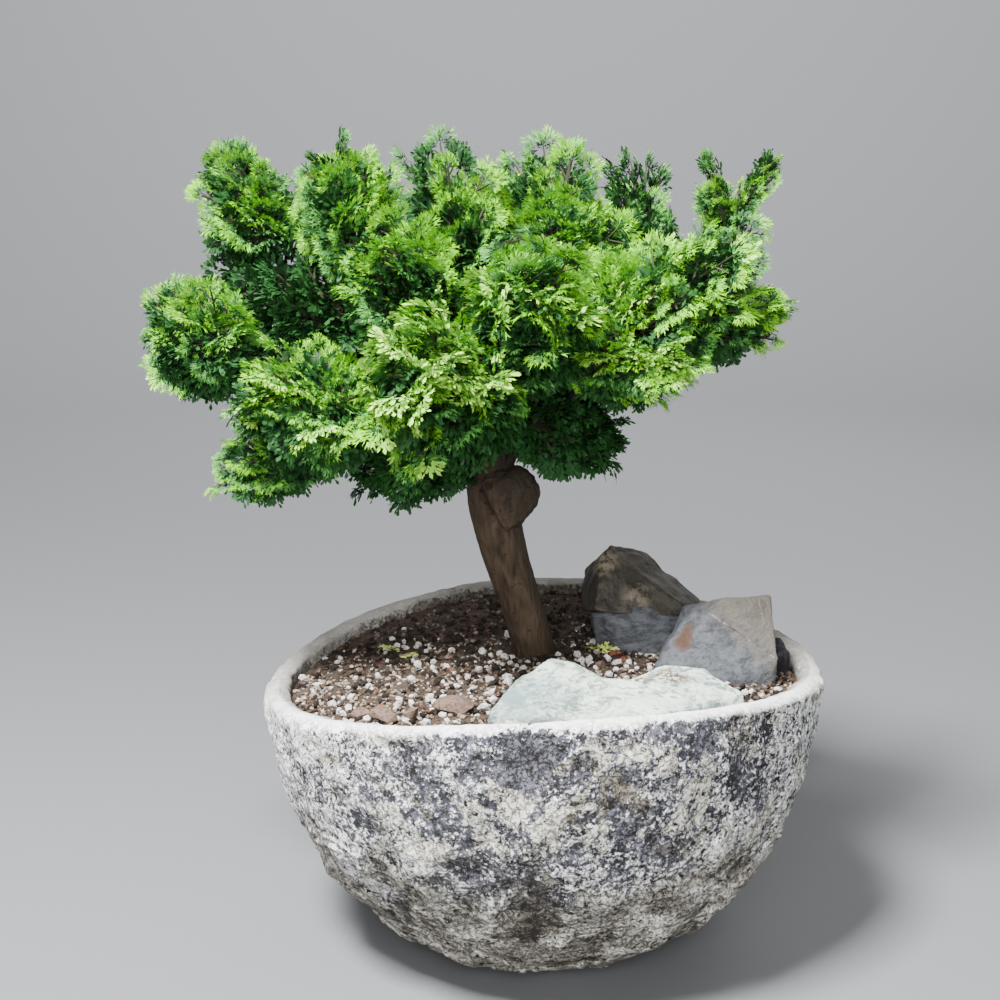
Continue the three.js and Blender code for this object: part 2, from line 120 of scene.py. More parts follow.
class Finish:
    """A material under construction, with its Principled shader."""

    def __init__(self, name: str, roughness: float, specular: float = 0.5) -> None:
        """Makes the material.

        Args:
            name: The material's name.
            roughness: The shader's roughness all over.
            specular: The shader's specular level all over.
        """
        self.material = bpy.data.materials.new(name)
        self.material.use_nodes = True
        self.tree = self.material.node_tree
        self.shader = self.tree.nodes["Principled BSDF"]
        self.shader.inputs["Roughness"].default_value = roughness
        self.shader.inputs["Specular IOR Level"].default_value = specular

    def plug(self, socket: Any, value: Any) -> None:
        """Links a wire into a socket, or sets a number, colour or vector on it.

        Args:
            socket: The shader node's input.
            value: What goes into it.
        """
        if isinstance(value, Wire):
            self.tree.links.new(value.socket, socket)
        elif isinstance(value, (tuple, list)) and len(socket.default_value) == 4:
            socket.default_value = (*value[:3], 1.0)
        else:
            socket.default_value = value

    def node(self, kind: str, settings: dict[str, Any] | None = None,
             sockets: dict[Any, Any] | None = None, out: Any = 0) -> Wire:
        """Adds one node.

        Args:
            kind: The node's type.
            settings: Its properties, set first; "stops" sets a ramp's stops.
            sockets: Values or wires for its inputs, by name or index.
            out: The output to use, by name or index.

        Returns:
            The chosen output.
        """
        made = self.tree.nodes.new(kind)
        for key, value in (settings or {}).items():
            if key == "stops":
                self.set_stops(made.color_ramp, value)
            else:
                setattr(made, key, value)
        for key, value in (sockets or {}).items():
            self.plug(made.inputs[key], value)
        return Wire(self, made.outputs[out])

    @staticmethod
    def set_stops(ramp: Any, stops: Sequence[tuple[float, Colour]]) -> None:
        """Gives a colour ramp its stops.

        Args:
            ramp: The ramp.
            stops: Place and colour of each stop, in order.
        """
        while len(ramp.elements) < len(stops):
            ramp.elements.new(1.0)
        for element, (place, colour) in zip(ramp.elements, stops):
            element.position = place
            element.color = (*colour, 1.0)

    def place(self, stretch: Point = (1, 1, 1)) -> Wire:
        """Object coordinates, stretched along the axes."""
        coords = self.node("ShaderNodeTexCoord", out="Object")
        return self.node("ShaderNodeMapping", None, {"Vector": coords, "Scale": stretch})

    def height(self) -> Wire:
        """The height above the ground, in metres."""
        return self.node("ShaderNodeSeparateXYZ", None, {0: self.place()}, "Z")

    def across(self) -> Wire:
        """The distance to the right of the middle, in metres."""
        return self.node("ShaderNodeSeparateXYZ", None, {0: self.place()}, "X")

    def grain(self, scale: float, detail: float = 3, rough: float = 0.55, warp: float = 0.0,
              stretch: Point = (1, 1, 1)) -> Wire:
        """Noise in object coordinates, from 0 to 1.

        Args:
            scale: Features for each metre.
            detail: Octaves.
            rough: How strong the finer octaves are.
            warp: Distortion.
            stretch: Stretch along the axes.

        Returns:
            The noise.
        """
        sockets = {"Vector": self.place(stretch), "Scale": scale, "Detail": detail, "Roughness": rough,
                   "Distortion": warp}
        return self.node("ShaderNodeTexNoise", None, sockets, "Fac")

    def kept(self, name: str) -> Wire:
        """A value that the mesh keeps at its points."""
        return self.node("ShaderNodeAttribute", {"attribute_name": name}, None, "Fac")

    def near(self, centre: Point, radius: float) -> Wire:
        """A soft spot on the piece.

        Args:
            centre: Its middle, in metres.
            radius: How far it reaches.

        Returns:
            1 in the middle, easing to 0 at the radius.
        """
        coords = self.node("ShaderNodeTexCoord", out="Object")
        gap = self.node("ShaderNodeVectorMath", {"operation": "DISTANCE"}, {0: coords, 1: centre}, "Value")
        return 1 - gap.band(radius * 0.35, radius)

    def blend(self, share: Any, first: Any, second: Any) -> Wire:
        """Mixes two colours by a share."""
        return self.node("ShaderNodeMix", {"data_type": "RGBA"}, {0: share, 6: first, 7: second}, 2)

    def ramp(self, value: Wire, stops: Sequence[tuple[float, Colour]]) -> Wire:
        """A colour from a ramp."""
        return self.node("ShaderNodeValToRGB", {"stops": stops}, {0: value}, 0)

    def done(self, colour: Any, roughness: Wire | None = None, relief: Wire | None = None,
             depth: float = 0.001) -> bpy.types.Material:
        """Feeds the shader.

        Args:
            colour: The base colour, a wire or a plain colour.
            roughness: A roughness that changes over the surface.
            relief: A height for the bump.
            depth: The bump's depth in metres.

        Returns:
            The finished material.
        """
        self.plug(self.shader.inputs["Base Color"], colour)
        if roughness is not None:
            self.plug(self.shader.inputs["Roughness"], roughness)
        if relief is not None:
            bump = self.node("ShaderNodeBump", None, {"Strength": 1.0, "Distance": depth, "Height": relief})
            self.plug(self.shader.inputs["Normal"], bump)
        return self.material


@dataclass(frozen=True)
class PlainFinish:
    """One plain base colour, for small things dealt out by kind."""

    name: str
    colour: Colour
    roughness: float = 0.6
    specular: float = 0.3

    def make(self) -> bpy.types.Material:
        """Makes the plain material."""
        return Finish(self.name, self.roughness, self.specular).done(self.colour)


@dataclass(frozen=True)
class GritFinish:
    """Porous grains and chips, darker in their pores."""

    name: str
    colour: Colour
    pore: float = 0.5

    def make(self) -> bpy.types.Material:
        """Makes the material.

        Returns:
            The material.
        """
        f = Finish(self.name, 0.95, 0.2)
        pores = f.grain(700, 4, 0.65)
        dark = tuple(c * self.pore for c in self.colour)
        return f.done(f.blend(pores.band(0.36, 0.56), dark, self.colour), None, pores, 0.0008)


@dataclass(frozen=True)
class BowlFinish:
    """Limewash worn to fine white flakes over slate-coloured clay, creamy and brushed towards the foot, with
    painted shade in its cracks, pits, hollows and under its ledges, and a painted shadow of the crown on the
    back of the lip.
    """

    slate: Colour = (0.048, 0.051, 0.065)
    haze: Colour = (0.19, 0.19, 0.225)
    lime: Colour = (0.97, 0.97, 0.96)
    cream: Colour = (0.80, 0.78, 0.68)
    straw: Colour = (0.42, 0.39, 0.295)
    beige: Colour = (0.225, 0.203, 0.158)
    # earth brown, also laid as the painted shadow on the back of the lip
    earth_and_shade: Colour = (0.080, 0.065, 0.052)
    # near black, the painted shade in cracks, pits, hollows and under ledges
    crevice_shade: Colour = (0.018, 0.015, 0.013)

    def make(self) -> bpy.types.Material:
        """Makes the material.

        Returns:
            The material.
        """
        f = Finish("limewashed_clay", 0.95, 0.2)
        lip, form, under = f.kept("lip"), f.kept("relief"), f.kept("under")
        wander = f.grain(27, 4, 0.62, 0.6)
        low = 1 - (f.height() + (wander - 0.5) * 0.10).band(0.043, 0.074)
        fine = f.grain(540, 5, 0.74, 0.1)
        clay = f.blend((f.grain(85, 5, 0.65) * 0.6 + fine * 0.55).band(0.47, 0.68), self.slate, self.haze)
        across = f.across()
        spread = fine + f.grain(105, 4, 0.65) * 0.46 + wander * 0.30 + form * 0.20 + lip * 0.26
        spread = spread + across * across * 13.0
        flakes = spread.band(1.02, 1.055)
        colour = f.blend(flakes, clay, self.lime)
        patches = (f.grain(33, 5, 0.7, 0.5) + fine * 0.14).band(0.655, 0.70)
        stain = f.blend(fine.band(0.40, 0.62), self.beige, self.straw)
        colour = f.blend(patches * (1 - lip) * 0.8, colour, stain)
        torn = (f.grain(38, 6, 0.74, 0.5) + form * 0.16 + fine * 0.08).band(0.675, 0.690)
        colour = f.blend(torn * (1 - lip) * 0.9, colour, self.cream)
        strokes = f.grain(150, 5, 0.7, 0.3, (1, 1, 2.6))
        bed = f.blend((strokes * 0.6 + fine * 0.5 + form * 0.2).band(0.54, 0.74), self.beige, self.cream)
        soiled = 1 - f.grain(52, 5, 0.7, 0.6, (1, 1, 1.8)).band(0.48, 0.58)
        bed = f.blend(soiled * 0.85, bed, f.blend(strokes.band(0.42, 0.60), self.earth_and_shade, self.beige))
        colour = f.blend(low * 0.9, colour, bed)
        # Painted shade: hollows in the relief, cracks, pits and the faces turned down under ledges are
        # darkened towards near black, the hollows more in the lower part.
        hollows = 1 - (form * 0.40 + f.grain(120, 5, 0.72, 0.5, (1, 1, 2.2)) * 0.75).band(0.46, 0.57)
        cracks = 1 - fine.math("ABSOLUTE", f.grain(300, 5, 0.7, 0.15) - 0.5).band(0.006, 0.045)
        pits = 1 - f.grain(250, 4, 0.7).band(0.33, 0.42)
        dark = cracks * 0.8 + pits + hollows * (0.18 + 0.52 * low) + under * 0.8
        dark = dark.math("MINIMUM", dark, 1.0) * (1 - lip * 0.85)
        colour = f.blend(dark, colour, self.crevice_shade)
        # Painted shadow of the crown on the back of the lip, in earth brown; the inward-facing faces are
        # darkened the same way.
        back = f.node("ShaderNodeSeparateXYZ", None, {0: f.place()}, "Y") + (wander - 0.5) * 0.12
        inner_darkening_and_back_shadow = f.kept("inner") + lip * back.band(-0.085, 0.02)
        inner_darkening_and_back_shadow = inner_darkening_and_back_shadow.math("MINIMUM", inner_darkening_and_back_shadow, 1.0) * (0.35 + fine * 0.9)
        inner_darkening_and_back_shadow = inner_darkening_and_back_shadow.math("MINIMUM", inner_darkening_and_back_shadow, 0.9)
        colour = f.blend(inner_darkening_and_back_shadow, colour, f.blend(fine.band(0.38, 0.62), self.earth_and_shade, self.beige))
        relief = flakes * 0.5 + torn * 0.35 + fine * 0.8 - dark * 0.5
        return f.done(colour, None, relief, 0.0013)


@dataclass(frozen=True)
class SoilFinish:
    """Dark moist soil."""

    dark: Colour = (0.0225, 0.016, 0.012)
    light: Colour = (0.09, 0.065, 0.047)

    def make(self) -> bpy.types.Material:
        """Makes the material.

        Returns:
            The material.
        """
        f = Finish("potting_soil", 1.0, 0.15)
        crumbs = f.grain(380, 5, 0.7)
        colour = f.ramp(crumbs * 0.7 + f.grain(45, 3) * 0.3, [(0.36, self.dark), (0.66, self.light)])
        return f.done(colour, None, crumbs, 0.002)


@dataclass(frozen=True)
class BarkFinish:
    """Fibrous brown bark, darker in its furrows, partly its own colour and partly painted shade; with painted
    shade on its right side and at its top, under the crown.
    """

    name: str = "trunk_bark"
    furrow: Colour = (0.0165, 0.011, 0.0075)
    ridge: Colour = (0.052, 0.035, 0.022)
    worn: Colour = (0.084, 0.063, 0.043)
    # greenish near black, the painted shade on the right side
    right_side_shade: Colour = (0.019, 0.018, 0.011)

    def make(self) -> bpy.types.Material:
        """Makes the material.

        Returns:
            The material.
        """
        f = Finish(self.name, 0.85, 0.2)
        fibres = f.grain(620, 5, 0.65, 0.5, (1, 1, 0.16))
        flecks = f.grain(300, 3, 0.6, 0.0, (1, 1, 1.8)).band(0.62, 0.72)
        # Partly painted shade: darker where the kept relief is low, in the furrows and in the knot's crease
        # and hollow.
        tone = f.kept("relief") * 0.55 + fibres * 0.60
        colour = f.ramp(tone, [(0.30, self.furrow), (0.60, self.ridge), (0.92, self.worn)])
        colour = f.blend(flecks * 0.6, colour, self.furrow)
        # Painted shade: the trunk's right side, away from the key light, is darkened to a greenish near
        # black.
        right = f.across() + (f.height() - 0.121) * 0.27 + (f.grain(90, 3) - 0.5) * 0.016
        colour = f.blend(right.band(-0.002, 0.007) * 0.6, colour, self.right_side_shade)
        # Painted shadow of the crown: the top of the trunk is darkened.
        colour = f.blend(f.height().band(0.160, 0.205) * 0.55, colour, self.furrow)
        return f.done(colour, None, fibres - flecks * 0.4, 0.0012)


@dataclass(frozen=True)
class PaleStoneFinish:
    """Pale green-white slab with a few dark specks."""

    face: Colour = (0.115, 0.165, 0.150)
    chalk: Colour = (0.54, 0.61, 0.53)
    speck: Colour = (0.10, 0.14, 0.13)
    smear: Colour = (0.10, 0.17, 0.18)
    dirt: Colour = (0.10, 0.065, 0.042)

    def make(self) -> bpy.types.Material:
        """Makes the material.

        Returns:
            The material.
        """
        f = Finish("pale_slab", 0.8, 0.3)
        cloud = f.grain(62, 5, 0.68, 0.4)
        fine = f.grain(420, 4, 0.7)
        colour = f.blend((cloud * 0.75 + fine * 0.55).band(0.50, 0.70), self.face, self.chalk)
        smeared = f.near((-0.010, -0.078, 0.1245), 0.026) * cloud.band(0.36, 0.56)
        colour = f.blend(smeared * 0.85, colour, self.smear)
        crumbs = f.near((0.047, -0.056, 0.1285), 0.011) + f.near((0.036, -0.062, 0.128), 0.007)
        crumbs = crumbs.math("MINIMUM", crumbs, 1.0) * f.grain(330, 4, 0.7).band(0.46, 0.52)
        colour = f.blend(crumbs, colour, self.dirt)
        seam = 1 - cloud.math("ABSOLUTE", f.grain(34, 4, 0.6, 0.2) - 0.52).band(0.004, 0.022)
        colour = f.blend(seam * cloud.band(0.4, 0.55) * 0.75, colour, self.speck)
        colour = f.blend(f.grain(170, 3).band(0.63, 0.68) * 0.85, colour, self.speck)
        return f.done(colour, None, cloud * 0.8 + fine * 0.6, 0.0018)


@dataclass(frozen=True)
class BrownRockFinish:
    """Olive-brown broken rock with tan edges."""

    brown: Colour = (0.014, 0.011, 0.007)
    olive: Colour = (0.032, 0.0265, 0.016)
    tan: Colour = (0.149, 0.121, 0.084)

    def make(self) -> bpy.types.Material:
        """Makes the material.

        Returns:
            The material.
        """
        f = Finish("brown_rock", 0.6, 0.4)
        grit = f.grain(120, 5, 0.65)
        colour = f.blend(grit.band(0.4, 0.66), self.brown, self.olive)
        # Tan on the sharpest edges and at two spots on the top.
        tan_spots = f.near((0.041, 0.011, 0.1415), 0.011) + f.near((0.026, 0.025, 0.152), 0.009)
        tan_edges_and_spots = (f.kept("edge") * 0.6 + tan_spots) * f.grain(240, 4, 0.7).band(0.42, 0.58)
        colour = f.blend(tan_edges_and_spots.math("MINIMUM", tan_edges_and_spots, 0.85), colour, self.tan)
        return f.done(colour, None, grit, 0.0014)


@dataclass(frozen=True)
class SlateFaceFinish:
    """Blue-grey cleaved face."""

    dark: Colour = (0.026, 0.028, 0.032)
    light: Colour = (0.100, 0.106, 0.117)

    def make(self) -> bpy.types.Material:
        """Makes the material.

        Returns:
            The material.
        """
        f = Finish("slate_face", 0.7, 0.4)
        layers = f.grain(150, 6, 0.72, 0.1, (1, 1, 2.2))
        return f.done(f.blend(layers.band(0.36, 0.66), self.dark, self.light), None, layers, 0.0015)


@dataclass(frozen=True)
class GreyStoneFinish:
    """Blue-grey block, beige and layered towards one side, with one rusty patch."""

    grey: Colour = (0.024, 0.027, 0.032)
    light: Colour = (0.078, 0.084, 0.093)
    beige: Colour = (0.084, 0.074, 0.060)
    rust: Colour = (0.053, 0.022, 0.008)
    edge: Colour = (0.24, 0.208, 0.184)
    rust_at: Point = (0.0555, -0.0225, 0.1315)
    rust_above: Point = (0.0570, -0.0205, 0.1365)

    def make(self) -> bpy.types.Material:
        """Makes the material.

        Returns:
            The material.
        """
        f = Finish("grey_block", 0.7, 0.4)
        layers = f.grain(160, 6, 0.72, 0.1, (1, 1, 1.8))
        fine = f.grain(420, 4, 0.7)
        face = f.blend((layers * 0.7 + fine * 0.3).band(0.38, 0.62), self.grey, self.light)
        lean = f.across() * 0.75 + f.height() * 0.9 + layers * 0.028
        colour = f.blend(lean.band(0.184, 0.200) * 0.9, face, self.beige)
        rusty = f.near(self.rust_at, 0.0062) + f.near(self.rust_above, 0.0052)
        colour = f.blend(rusty.math("MINIMUM", rusty, 0.9) * layers.band(0.22, 0.48), colour, self.rust)
        colour = f.blend(f.kept("edge") * fine.band(0.42, 0.6) * 0.7, colour, self.edge)
        # Painted shade: near black along the foot of the block, just above the soil.
        colour = f.blend((1 - f.height().band(0.112, 0.121)) * 0.75, colour, (0.02, 0.02, 0.022))
        return f.done(colour, None, layers + fine * 0.4, 0.0014)


@dataclass(frozen=True)
class DarkStoneFinish:
    """Nearly black porous stone."""

    black: Colour = (0.010, 0.009, 0.011)
    grey: Colour = (0.050, 0.046, 0.052)

    def make(self) -> bpy.types.Material:
        """Makes the material.

        Returns:
            The material.
        """
        f = Finish("dark_stone", 0.9, 0.3)
        grit = f.grain(260, 4, 0.65)
        return f.done(f.blend(grit.band(0.42, 0.7), self.black, self.grey), None, grit, 0.0015)


# Making meshes

class Bench:
    """Adds shapes with nothing else selected, and reads and sets their points."""

    @staticmethod
    def clear() -> None:
        """Leaves edit mode and deselects everything."""
        if bpy.context.object and bpy.context.object.mode != "OBJECT":
            bpy.ops.object.mode_set(mode="OBJECT")
        bpy.ops.object.select_all(action="DESELECT")

    @classmethod
    def ring_stack(cls, name: str, sides: int, profile: Sequence[tuple[float, float]],
                   close_end: bool = True) -> bpy.types.Object:
        """Extrudes a circle ring by ring along a profile.

        Args:
            name: The piece's name.
            sides: Points round each ring.
            profile: Radius and height of each ring, in metres.
            close_end: Whether the last ring is filled.

        Returns:
            The new piece, in object mode.
        """
        cls.clear()
        radius, height = profile[0]
        bpy.ops.mesh.primitive_circle_add(vertices=sides, radius=radius, fill_type="NGON", location=(0, 0, 0))
        made = bpy.context.object
        made.name = name
        bpy.ops.object.mode_set(mode="EDIT")
        bpy.ops.mesh.select_all(action="SELECT")
        bpy.ops.transform.translate(value=(0, 0, height))
        bpy.ops.mesh.flip_normals()
        bpy.ops.mesh.select_mode(type="EDGE")
        for wide, high in profile[1:]:
            bpy.ops.mesh.extrude_edges_move(TRANSFORM_OT_translate={"value": (0, 0, high - height)})
            bpy.ops.transform.resize(value=(wide / radius, wide / radius, 1))
            radius, height = wide, high
        if close_end:
            bpy.ops.mesh.edge_face_add()
        bpy.ops.object.mode_set(mode="OBJECT")
        return made

    @staticmethod
    def points(piece: bpy.types.Object) -> np.ndarray:
        """Reads a piece's points.

        Args:
            piece: The piece.

        Returns:
            One row for each point, in metres.
        """
        flat = np.empty(len(piece.data.vertices) * 3)
        piece.data.vertices.foreach_get("co", flat)
        return flat.reshape(-1, 3)

    @staticmethod
    def normals(piece: bpy.types.Object) -> np.ndarray:
        """Reads which way a piece's surface faces at its points.

        Args:
            piece: The piece.

        Returns:
            One row for each point.
        """
        flat = np.empty(len(piece.data.vertices) * 3)
        piece.data.vertex_normals.foreach_get("vector", flat)
        return flat.reshape(-1, 3)

    @staticmethod
    def bend(piece: bpy.types.Object) -> np.ndarray:
        """Works out how sharply a piece's faces turn at each point.

        Args:
            piece: The piece.

        Returns:
            A value for each point, from 0 on the flat to 1 on an edge.
        """
        mesh = piece.data
        corners = np.empty(len(mesh.loops), dtype=np.int32)
        mesh.loops.foreach_get("vertex_index", corners)
        flat = np.empty(len(mesh.polygons) * 3)
        mesh.polygons.foreach_get("normal", flat)
        sides = np.empty(len(mesh.polygons), dtype=np.int32)
        mesh.polygons.foreach_get("loop_total", sides)
        each = np.repeat(flat.reshape(-1, 3), sides, axis=0)
        total = np.stack([np.bincount(corners, each[:, k], len(mesh.vertices)) for k in range(3)], 1)
        count = np.bincount(corners, None, len(mesh.vertices))
        return np.clip((1 - np.linalg.norm(total, axis=1) / np.maximum(count, 1)) * 14, 0, 1)

    @staticmethod
    def set_points(piece: bpy.types.Object, rows: np.ndarray) -> None:
        """Moves a piece's points to new places in metres."""
        piece.data.vertices.foreach_set("co", np.ascontiguousarray(rows, dtype=np.float32).ravel())
        piece.data.update()

    @staticmethod
    def keep(piece: bpy.types.Object, name: str, values: np.ndarray) -> None:
        """Keeps a value at each point for the material to read."""
        made = piece.data.attributes.new(name, "FLOAT", "POINT")
        made.data.foreach_set("value", np.ascontiguousarray(values, dtype=np.float32))

    @staticmethod
    def smooth(piece: bpy.types.Object, degrees: float) -> None:
        """Shades a piece smooth below an angle.

        Args:
            piece: The piece.
            degrees: The angle.
        """
        Bench.clear()
        piece.select_set(True)
        bpy.context.view_layer.objects.active = piece
        bpy.ops.object.shade_smooth_by_angle(angle=math.radians(degrees))

    @staticmethod
    def sheets(name: str, corners: np.ndarray) -> bpy.types.Object:
        """One mesh of many separate faces.

        Args:
            name: The piece's name.
            corners: Faces by corners by XYZ, in metres.

        Returns:
            The new piece.
        """
        count, sides, _ = corners.shape
        mesh = bpy.data.meshes.new(name)
        mesh.vertices.add(count * sides)
        mesh.vertices.foreach_set("co", np.ascontiguousarray(corners, dtype=np.float32).ravel())
        mesh.loops.add(count * sides)
        mesh.loops.foreach_set("vertex_index", np.arange(count * sides, dtype=np.int32))
        mesh.polygons.add(count)
        mesh.polygons.foreach_set("loop_start", np.arange(0, count * sides, sides, dtype=np.int32))
        mesh.update(calc_edges=True)
        made = bpy.data.objects.new(name, mesh)
        bpy.context.collection.objects.link(made)
        return made

    @staticmethod
    def copies(name: str, rows: np.ndarray, faces: np.ndarray) -> bpy.types.Object:
        """One mesh of many copies of a small closed shape.

        Args:
            name: The piece's name.
            rows: Copies by points by XYZ, in metres.
            faces: The shape's triangles.

        Returns:
            The new piece.
        """
        count, size, _ = rows.shape
        steps = np.arange(count, dtype=np.int64)[:, None, None] * size
        index = (faces[None] + steps).reshape(-1, 3)
        mesh = bpy.data.meshes.new(name)
        mesh.from_pydata(rows.reshape(-1, 3), [], index)
        mesh.update()
        made = bpy.data.objects.new(name, mesh)
        bpy.context.collection.objects.link(made)
        return made


def finish_piece(piece: bpy.types.Object, slot: str, material: bpy.types.Material,
                 *nodes: str) -> bpy.types.Object:
    """Dresses a piece, sets it on the plant's body and reports it.

    Args:
        piece: The piece.
        slot: The record's material slot; not used.
        material: Its material.
        nodes: The solids that it stands for.

    Returns:
        The piece.
    """
    piece.data.materials.clear()
    piece.data.materials.append(material)
    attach(piece, "root")
    if nodes:
        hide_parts(*nodes)
    LOG.info("%s: %d points", piece.name, len(piece.data.vertices))
    return piece


def rough(rows: np.ndarray, scale: float, octaves: int = 3, shift: float = 0.0) -> np.ndarray:
    """Fractal noise at points, about -1 to 1.

    Args:
        rows: Points.
        scale: Features for each unit of length.
        octaves: Octaves of noise.
        shift: Moves to another part of the noise.

    Returns:
        A value for each point.
    """
    move = Vector((shift, -shift, shift))
    return np.array([noise.fractal(Vector(p) * scale + move, 0.9, 2.0, octaves) for p in rows])


def unit(rows: np.ndarray) -> np.ndarray:
    """Rows scaled to length 1."""
    return rows / np.maximum(np.linalg.norm(rows, axis=-1, keepdims=True), 1e-9)


# Bowl and soil

@dataclass
class Bowl:
    """The bowl's wall, as in the solids, with its hand-made relief."""

    rim_radius: float = 115.0
    rim_height: float = 118.8
    base_radius: float = 38.0
    wall: float = 9.0
    lip_round: float = 3.0
    rise: float = 1.94
    swell: float = 1.77
    wave: tuple[float, float, float, float] = (4.5, -1.9, -6.4, -0.9)
    sides: int = 480
    rings: int = 126

    def radius(self, share: float) -> float:
        """The wall's outer radius at a share of its height, in millimetres."""
        round_out = (1 - (1 - share) ** self.rise) ** (1 / self.swell)
        return self.base_radius + (self.rim_radius - self.base_radius) * round_out

    def rim_wave(self, rows: np.ndarray) -> np.ndarray:
        """Works out how far the rim stands above its mean height.

        Args:
            rows: Points, in millimetres.

        Returns:
            A height for each point.
        """
        angle = np.arctan2(rows[:, 1], rows[:, 0])
        right, back, sides, diagonals = self.wave
        once = right * np.cos(angle) + back * np.sin(angle)
        return once + sides * np.cos(2 * angle) + diagonals * np.sin(2 * angle)

    def lift(self, rows: np.ndarray) -> np.ndarray:
        """Lifts points with the rim's wave, more towards the rim.

        Args:
            rows: Points, in millimetres.

        Returns:
            The lifted points.
        """
        share = np.maximum(0, rows[:, 2] / self.rim_height)
        outwards = np.minimum(1, np.hypot(rows[:, 0], rows[:, 1]) / self.base_radius)
        lifted = rows.copy()
        lifted[:, 2] += self.rim_wave(rows) * share ** 2 * outwards
        return lifted

    def profile(self) -> list[tuple[float, float]]:
        """Draws the wall's outline from the underside over the lip to the inner floor.

        Returns:
            Radius and height of each ring.
        """
        top = self.rim_height - self.lip_round
        shares = [(i / self.rings) ** 1.5 for i in range(self.rings + 1)]
        outside = [(self.radius(s), s * top) for s in shares]
        lip = []
        for turn in np.linspace(0, math.pi, 9)[1:-1]:
            middle = self.rim_radius - self.wall / 2
            lip.append((middle + math.cos(turn) * self.wall / 2, top + math.sin(turn) * self.lip_round))
        inside = []
        for share in np.linspace(1, 0, 14):
            inside.append((self.radius(share) - self.wall, self.wall + share * (top - self.wall)))
        return outside + lip + inside

    def build(self) -> bpy.types.Object:
        """Makes the bowl.

        Returns:
            The piece.
        """
        rings = [(r * MM, z * MM) for r, z in self.profile()]
        piece = Bench.ring_stack("bowl", self.sides, rings)
        rows = self.lift(Bench.points(piece) / MM)
        Bench.set_points(piece, rows * MM)
        normals = Bench.normals(piece)
        radius = np.hypot(rows[:, 0], rows[:, 1])
        depth = self.rim_height + self.rim_wave(rows) - rows[:, 2]
        outer = (radius > self.base_radius * 1.02) & (normals[:, 2] < 0.98)
        dents = rough(rows, 1 / 34, 2, 3.0)
        phase = rows[:, 2] / 11 + 2.2 * rough(rows, 1 / 30, 2, 21.0)
        climb = phase - np.floor(phase)
        broken = np.clip(0.25 + 1.6 * rough(rows, 1 / 18, 2, 31.0), 0, 1)
        broken *= np.clip((92 - rows[:, 2]) / 45, 0, 1)
        ledges = (1 - climb) * np.minimum(1, climb / 0.14) * broken
        lumps = rough(rows, 1 / 10, 3, 9.0)
        crust = rough(rows, 1 / 3.4, 2, 17.0)
        lip = np.clip(1 - depth / (3.0 + 1.4 * lumps), 0, 1)
        form = dents * 1.6 + ledges * 2.8 + lumps * 1.1
        move = form * (1 - 0.7 * lip) + crust * 0.45
        rows += normals * (move * outer * np.clip(rows[:, 2] / 12, 0, 1))[:, None]
        Bench.set_points(piece, rows * MM)
        # Painted shade: how far the relief has turned each face downwards, kept for the colour to darken the
        # undersides of the ledges.
        under = (normals[:, 2] - Bench.normals(piece)[:, 2]) * 2.4 - 0.25
        Bench.keep(piece, "under", np.clip(under * outer, 0, 1))
        Bench.keep(piece, "lip", lip ** 0.6)
        inwards = -(normals[:, 0] * rows[:, 0] + normals[:, 1] * rows[:, 1]) / np.maximum(radius, 1)
        Bench.keep(piece, "inner", np.clip(inwards * 2, 0, 1))
        Bench.keep(piece, "relief", np.clip(0.5 + 0.22 * form, 0, 1))
        Bench.smooth(piece, 60)
        return finish_piece(piece, "pot", BowlFinish().make(), "pot")


@dataclass
class Soil:
    """The soil's uneven surface inside the bowl."""

    bowl: Bowl
    centre_height: float = 117.0
    flat_radius: float = 25.0
    below_rim: float = 6.0
    sides: int = 200
    rings: int = 64
    skirt: float = 14.0

    def height(self, rows: np.ndarray) -> np.ndarray:
        """Works out the surface's height.

        Args:
            rows: Points, in millimetres.

        Returns:
            A height for each point.
        """
        reach = self.bowl.rim_radius - self.bowl.wall - self.flat_radius
        share = np.clip((np.hypot(rows[:, 0], rows[:, 1]) - self.flat_radius) / reach, 0, 1)
        edge = self.bowl.rim_height + self.bowl.rim_wave(rows) - self.below_rim
        return self.centre_height + (edge - self.centre_height) * share ** 1.5

    def build(self) -> bpy.types.Object:
        """Makes the soil: a skirt down the wall, then rings in to the middle.

        Returns:
            The piece.
        """
        edge = self.bowl.rim_radius - self.bowl.wall - 0.8
        rings = [((edge - 4) * MM, -self.skirt * MM), (edge * MM, 0.0)]
        rings += [(edge * (1 - i / self.rings) * MM, 0.0) for i in range(1, self.rings)]
        piece = Bench.ring_stack("soil_surface", self.sides, rings)
        rows = Bench.points(piece) / MM
        crumbs = rough(rows, 1 / 9, 3, 2.0) * 1.3 + rough(rows, 1 / 2.5, 2, 5.0) * 0.7
        on_top = rows[:, 2] > -1
        rows[:, 2] += self.height(rows) + crumbs * on_top
        Bench.set_points(piece, rows * MM)
        Bench.smooth(piece, 50)
        return finish_piece(piece, "soil", SoilFinish().make(), "soil")


class Grain(Enum):
    """Kinds of loose bits on the soil: colour, count, smallest and largest size, flatness."""

    PERLITE = ("perlite", (0.60, 0.57, 0.53), 820, 0.9, 5.0, 0.75)
    DARK = ("dark_crumbs", (0.019, 0.014, 0.011), 1300, 1.5, 4.5, 0.7)
    BROWN = ("brown_chips", (0.062, 0.040, 0.028), 1600, 1.2, 4.6, 0.5)
    GREY = ("grey_grit", (0.15, 0.13, 0.115), 1100, 0.9, 3.0, 0.7)
    TAN = ("tan_grit", (0.27, 0.21, 0.155), 2300, 0.8, 2.9, 0.6)
    RED = ("red_chips", (0.15, 0.055, 0.036), 50, 2.0, 4.5, 0.4)
    PEBBLE = ("brown_pebbles", (0.15, 0.10, 0.078), 12, 4.0, 7.0, 0.6)


